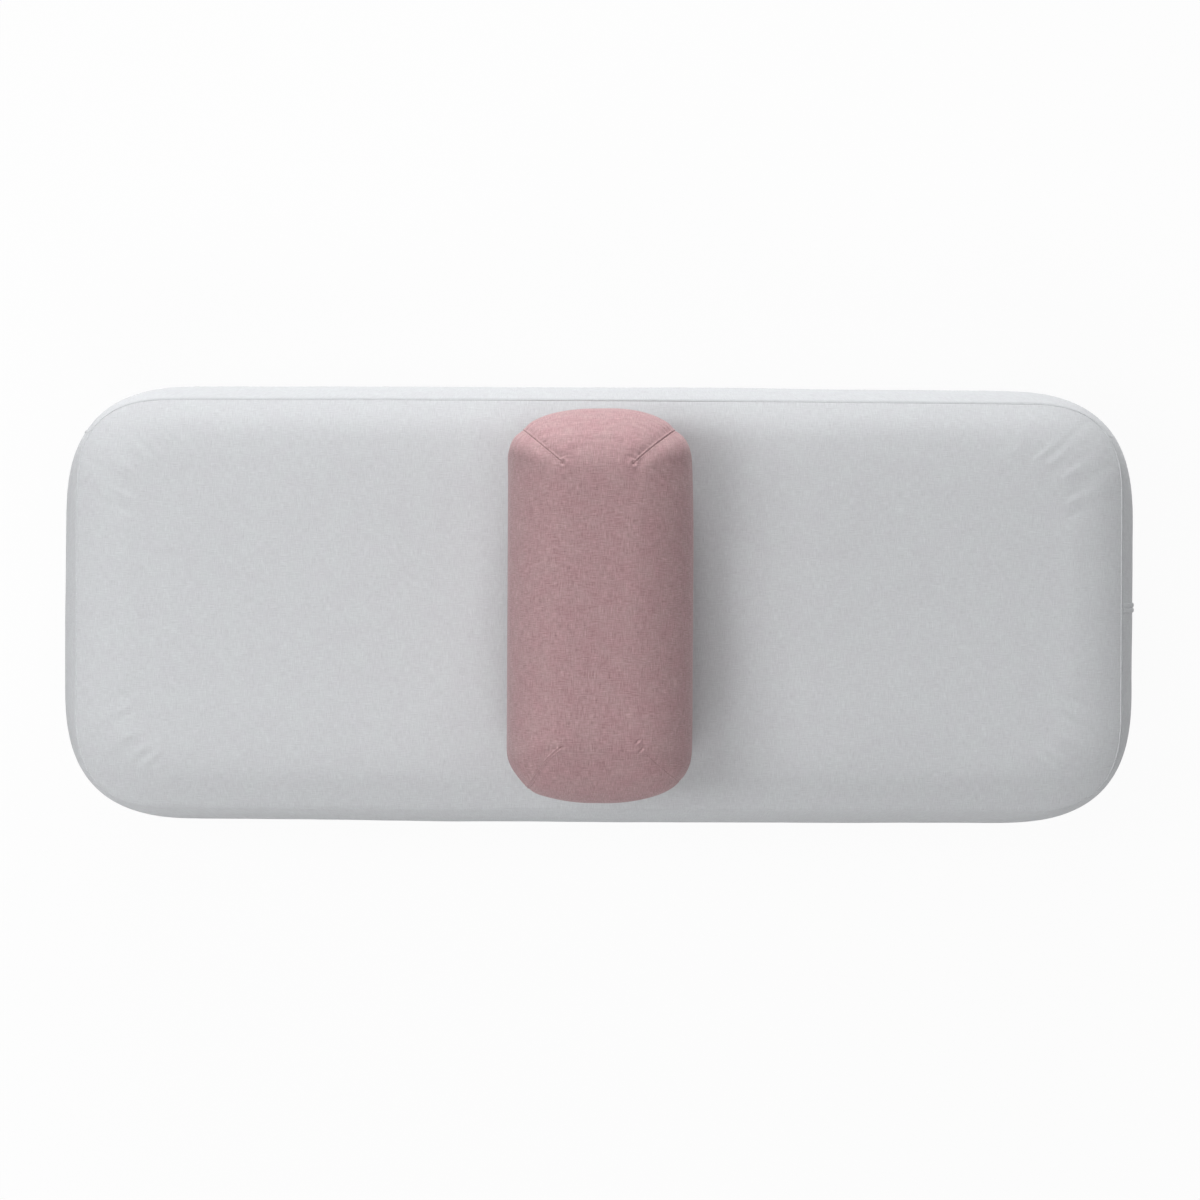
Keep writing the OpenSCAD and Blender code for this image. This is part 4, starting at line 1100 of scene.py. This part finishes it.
def open_slot(obj, rings, slot_row):
    """Sinks the zip's slot, on the right side, to its depth."""
    size = rings.size // 3
    all_points = points_of(obj)
    grid = all_points[:size].reshape(rings.shape)
    slot_low, slot_high, way = slot_edges()
    section = [(slot_low, 0.0), (slot_low, ZIP_DEPTH), (slot_high, ZIP_DEPTH), (slot_high, 0.0)]
    for column in range(rings.shape[1]):
        x, y = rings[slot_row, column, :2]
        if x < 0 or abs(y) > ZIP_HALF:
            continue
        for number, ((inset, height), depth) in enumerate(section):
            grid[slot_row + number, column, 0] = BOLSTER_HALF_WIDTH - inset - way[1] * depth
            grid[slot_row + number, column, 2] = BOLSTER_BASE + height - way[0] * depth
    all_points[:size] = grid.reshape(-1, 3)
    set_points(obj, all_points)


bolster = build_bolster()
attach(bolster, "bolster")
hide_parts("bolster_cover", "bolster_wadding", "bolster_foam")


# Rows of the panel's inset from the base's edge, and of its height
PANEL_ROWS = [(0.003, 0.0015), (0.0015, 0.0012), (0.001, 0.0006), (0.0015, 0.0001), (0.004, 0.0)]
PANEL_SKIP = 4


def build_base_panel():
    """Flat panel under the bolster, rounded over at its edge."""
    rows = [(BASE_INSET + inset, height) for inset, height in PANEL_ROWS]
    rings = rings_at(bolster_ring, rows)[:, ::PANEL_SKIP]
    rings[:, :, 2] += BOLSTER_BASE
    n = rings.shape[1]
    last = len(rows) * n - 1
    faces = [*loft_quads(len(rows), n)[:, ::-1], list(range(n)), list(range(last, last - n, -1))]
    return make_object("bolster_base", rings.reshape(-1, 3), faces, None, [rose_lining])


bolster_base = build_base_panel()
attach(bolster_base, "bolster")
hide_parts("bolster_base_panel")


# Materials of the carried-over nodes
def plain(name, colour, roughness, scale, amount, bump=0.0, metal=0.0):
    """Finish with its colour and height varied by a stretched noise."""
    material, tree, shader = start_material(name, colour, roughness)
    place = add_node(tree, "ShaderNodeTexCoord").outputs["Object"]
    grain = streaks(tree, place, scale, 4.0)
    tone = sums(tree, 1.0, (grain, amount, 0.5))
    tree.links.new(toned(tree, (*colour, 1), tone), shader.inputs["Base Color"])
    if bump:
        made = add_node(tree, "ShaderNodeBump", {"Height": grain, "Strength": bump, "Distance": 0.001})
        tree.links.new(made.outputs[0], shader.inputs["Normal"])
    shader.inputs["Metallic"].default_value = metal
    return material


finishes = {
    "webbing": plain("webbing", linear(70, 66, 62), 0.8, (300, 300, 300), 0.5, 0.4),
    "pine": plain("pine", linear(214, 180, 134), 0.6, (8, 90, 90), 0.35, 0.2),
    "plywood": plain("plywood", linear(200, 164, 118), 0.6, (20, 20, 700), 0.4, 0.2),
    "beech": plain("beech", linear(192, 150, 106), 0.45, (60, 60, 6), 0.35, 0.15),
    "steel": plain("steel", linear(170, 168, 160), 0.35, (400, 400, 400), 0.15, 0.05, 1.0),
    "dust_cover": plain("dust_cover", linear(44, 44, 46), 0.9, (500, 500, 500), 0.6, 0.5),
    "felt": plain("felt", linear(74, 74, 76), 1.0, (900, 900, 900), 0.5, 0.6),
    "zip_tape": plain("zip_tape", linear(140, 114, 116), 0.9, (200, 2000, 200), 0.3, 0.3),
    "zip_coil": plain("zip_coil", linear(128, 104, 106), 0.5, (200, 900, 200), 0.5, 0.6),
    "zip_metal": plain("zip_metal", linear(184, 184, 188), 0.28, (300, 300, 300), 0.12, 0.05, 1.0),
    "foam": plain("foam", linear(238, 228, 180), 0.95, (900, 900, 900), 0.2, 0.3),
    "wadding": plain("wadding", linear(240, 240, 236), 0.95, (300, 300, 300), 0.1, 0.3),
}
slot_of = {entry["node"]: entry["material_slot"] for entry in frame["record"]["subparts"]}
for node_name, obj in frame["nodes"].items():
    finish = finishes.get(slot_of.get(node_name))
    if finish is not None:
        obj.data.materials.clear()
        obj.data.materials.append(finish)


# Floor, background and lights
FLOOR_HALF = 14.0
FLOOR_COLOUR = (0.75, 0.75, 0.75)
FLOOR_WHITENESS = 0.94
WORLD_STRENGTH = 0.261


def build_floor():
    """Floor that takes shadows and looks almost white to the camera."""
    low, high = -FLOOR_HALF, FLOOR_HALF
    corners = [(low, low, 0), (high, low, 0), (high, high, 0), (low, high, 0)]
    mesh = bpy.data.meshes.new("floor")
    mesh.from_pydata(corners, [], [(0, 1, 2, 3)])
    floor = bpy.data.objects.new("floor", mesh)
    scene.collection.objects.link(floor)
    material, tree, shader = start_material("floor", FLOOR_COLOUR, 1.0)
    shader.inputs["Base Color"].default_value = (*FLOOR_COLOUR, 1)
    shader.inputs["Specular IOR Level"].default_value = 0.0
    seen = add_node(tree, "ShaderNodeLightPath").outputs["Is Camera Ray"]
    white = add_node(tree, "ShaderNodeEmission", {"Strength": 1.0})
    share = add_node(tree, "ShaderNodeMath", {0: seen, 1: FLOOR_WHITENESS}, operation="MULTIPLY")
    mix = add_node(tree, "ShaderNodeMixShader", {
        0: share.outputs[0], 1: shader.outputs[0], 2: white.outputs[0]})
    tree.links.new(mix.outputs[0], tree.nodes["Material Output"].inputs["Surface"])
    mesh.materials.append(material)


def add_light(name, place, aim, size, power):
    """Soft rectangular lamp that the camera doesn't see."""
    data = bpy.data.lights.new(name, "AREA")
    data.shape = "RECTANGLE"
    data.size, data.size_y = size
    data.energy = power
    lamp = bpy.data.objects.new(name, data)
    lamp.location = place
    lamp.rotation_euler = (Vector(aim) - Vector(place)).to_track_quat("-Z", "Y").to_euler()
    lamp.visible_camera = False
    scene.collection.objects.link(lamp)


def build_world():
    """Background that is white to the camera and in reflections, and lights softly otherwise."""
    world = bpy.data.worlds.new("world")
    scene.world = world
    world.use_nodes = True
    tree = world.node_tree
    tree.nodes.clear()
    path = add_node(tree, "ShaderNodeLightPath")
    seen = add_node(tree, "ShaderNodeMath", {
        0: path.outputs["Is Camera Ray"], 1: path.outputs["Is Glossy Ray"]}, operation="MAXIMUM")
    seen = add_node(tree, "ShaderNodeMath", {
        0: seen.outputs[0], 1: path.outputs["Is Transmission Ray"]}, operation="MAXIMUM")
    light = add_node(tree, "ShaderNodeBackground", {"Strength": WORLD_STRENGTH})
    white = add_node(tree, "ShaderNodeBackground", {"Color": (1, 1, 1, 1), "Strength": 1.0})
    mix = add_node(tree, "ShaderNodeMixShader", {
        0: seen.outputs[0], 1: light.outputs[0], 2: white.outputs[0]})
    output = add_node(tree, "ShaderNodeOutputWorld")
    tree.links.new(mix.outputs[0], output.inputs["Surface"])


build_floor()
build_world()
MIDDLE = (0, 0, 0.35)
add_light("north_low", (-0.4, 5.2, 1.3), MIDDLE, (3.6, 1.2), 82)
add_light("north_far", (-0.4, 8.0, 2.6), MIDDLE, (5.0, 3.0), 405)
add_light("west_high", (-2.6, 0.2, 5.0), MIDDLE, (2.4, 2.4), 78)
add_light("west_far", (-8.0, 0.3, 4.2), MIDDLE, (4.0, 4.0), 65)
add_light("south_high", (-0.45, -3.2, 4.6), MIDDLE, (4.0, 2.0), 116)
add_light("east_low", (5.5, 0.4, 0.5), MIDDLE, (2.0, 0.6), 31)
scene.view_settings.view_transform = "Standard"
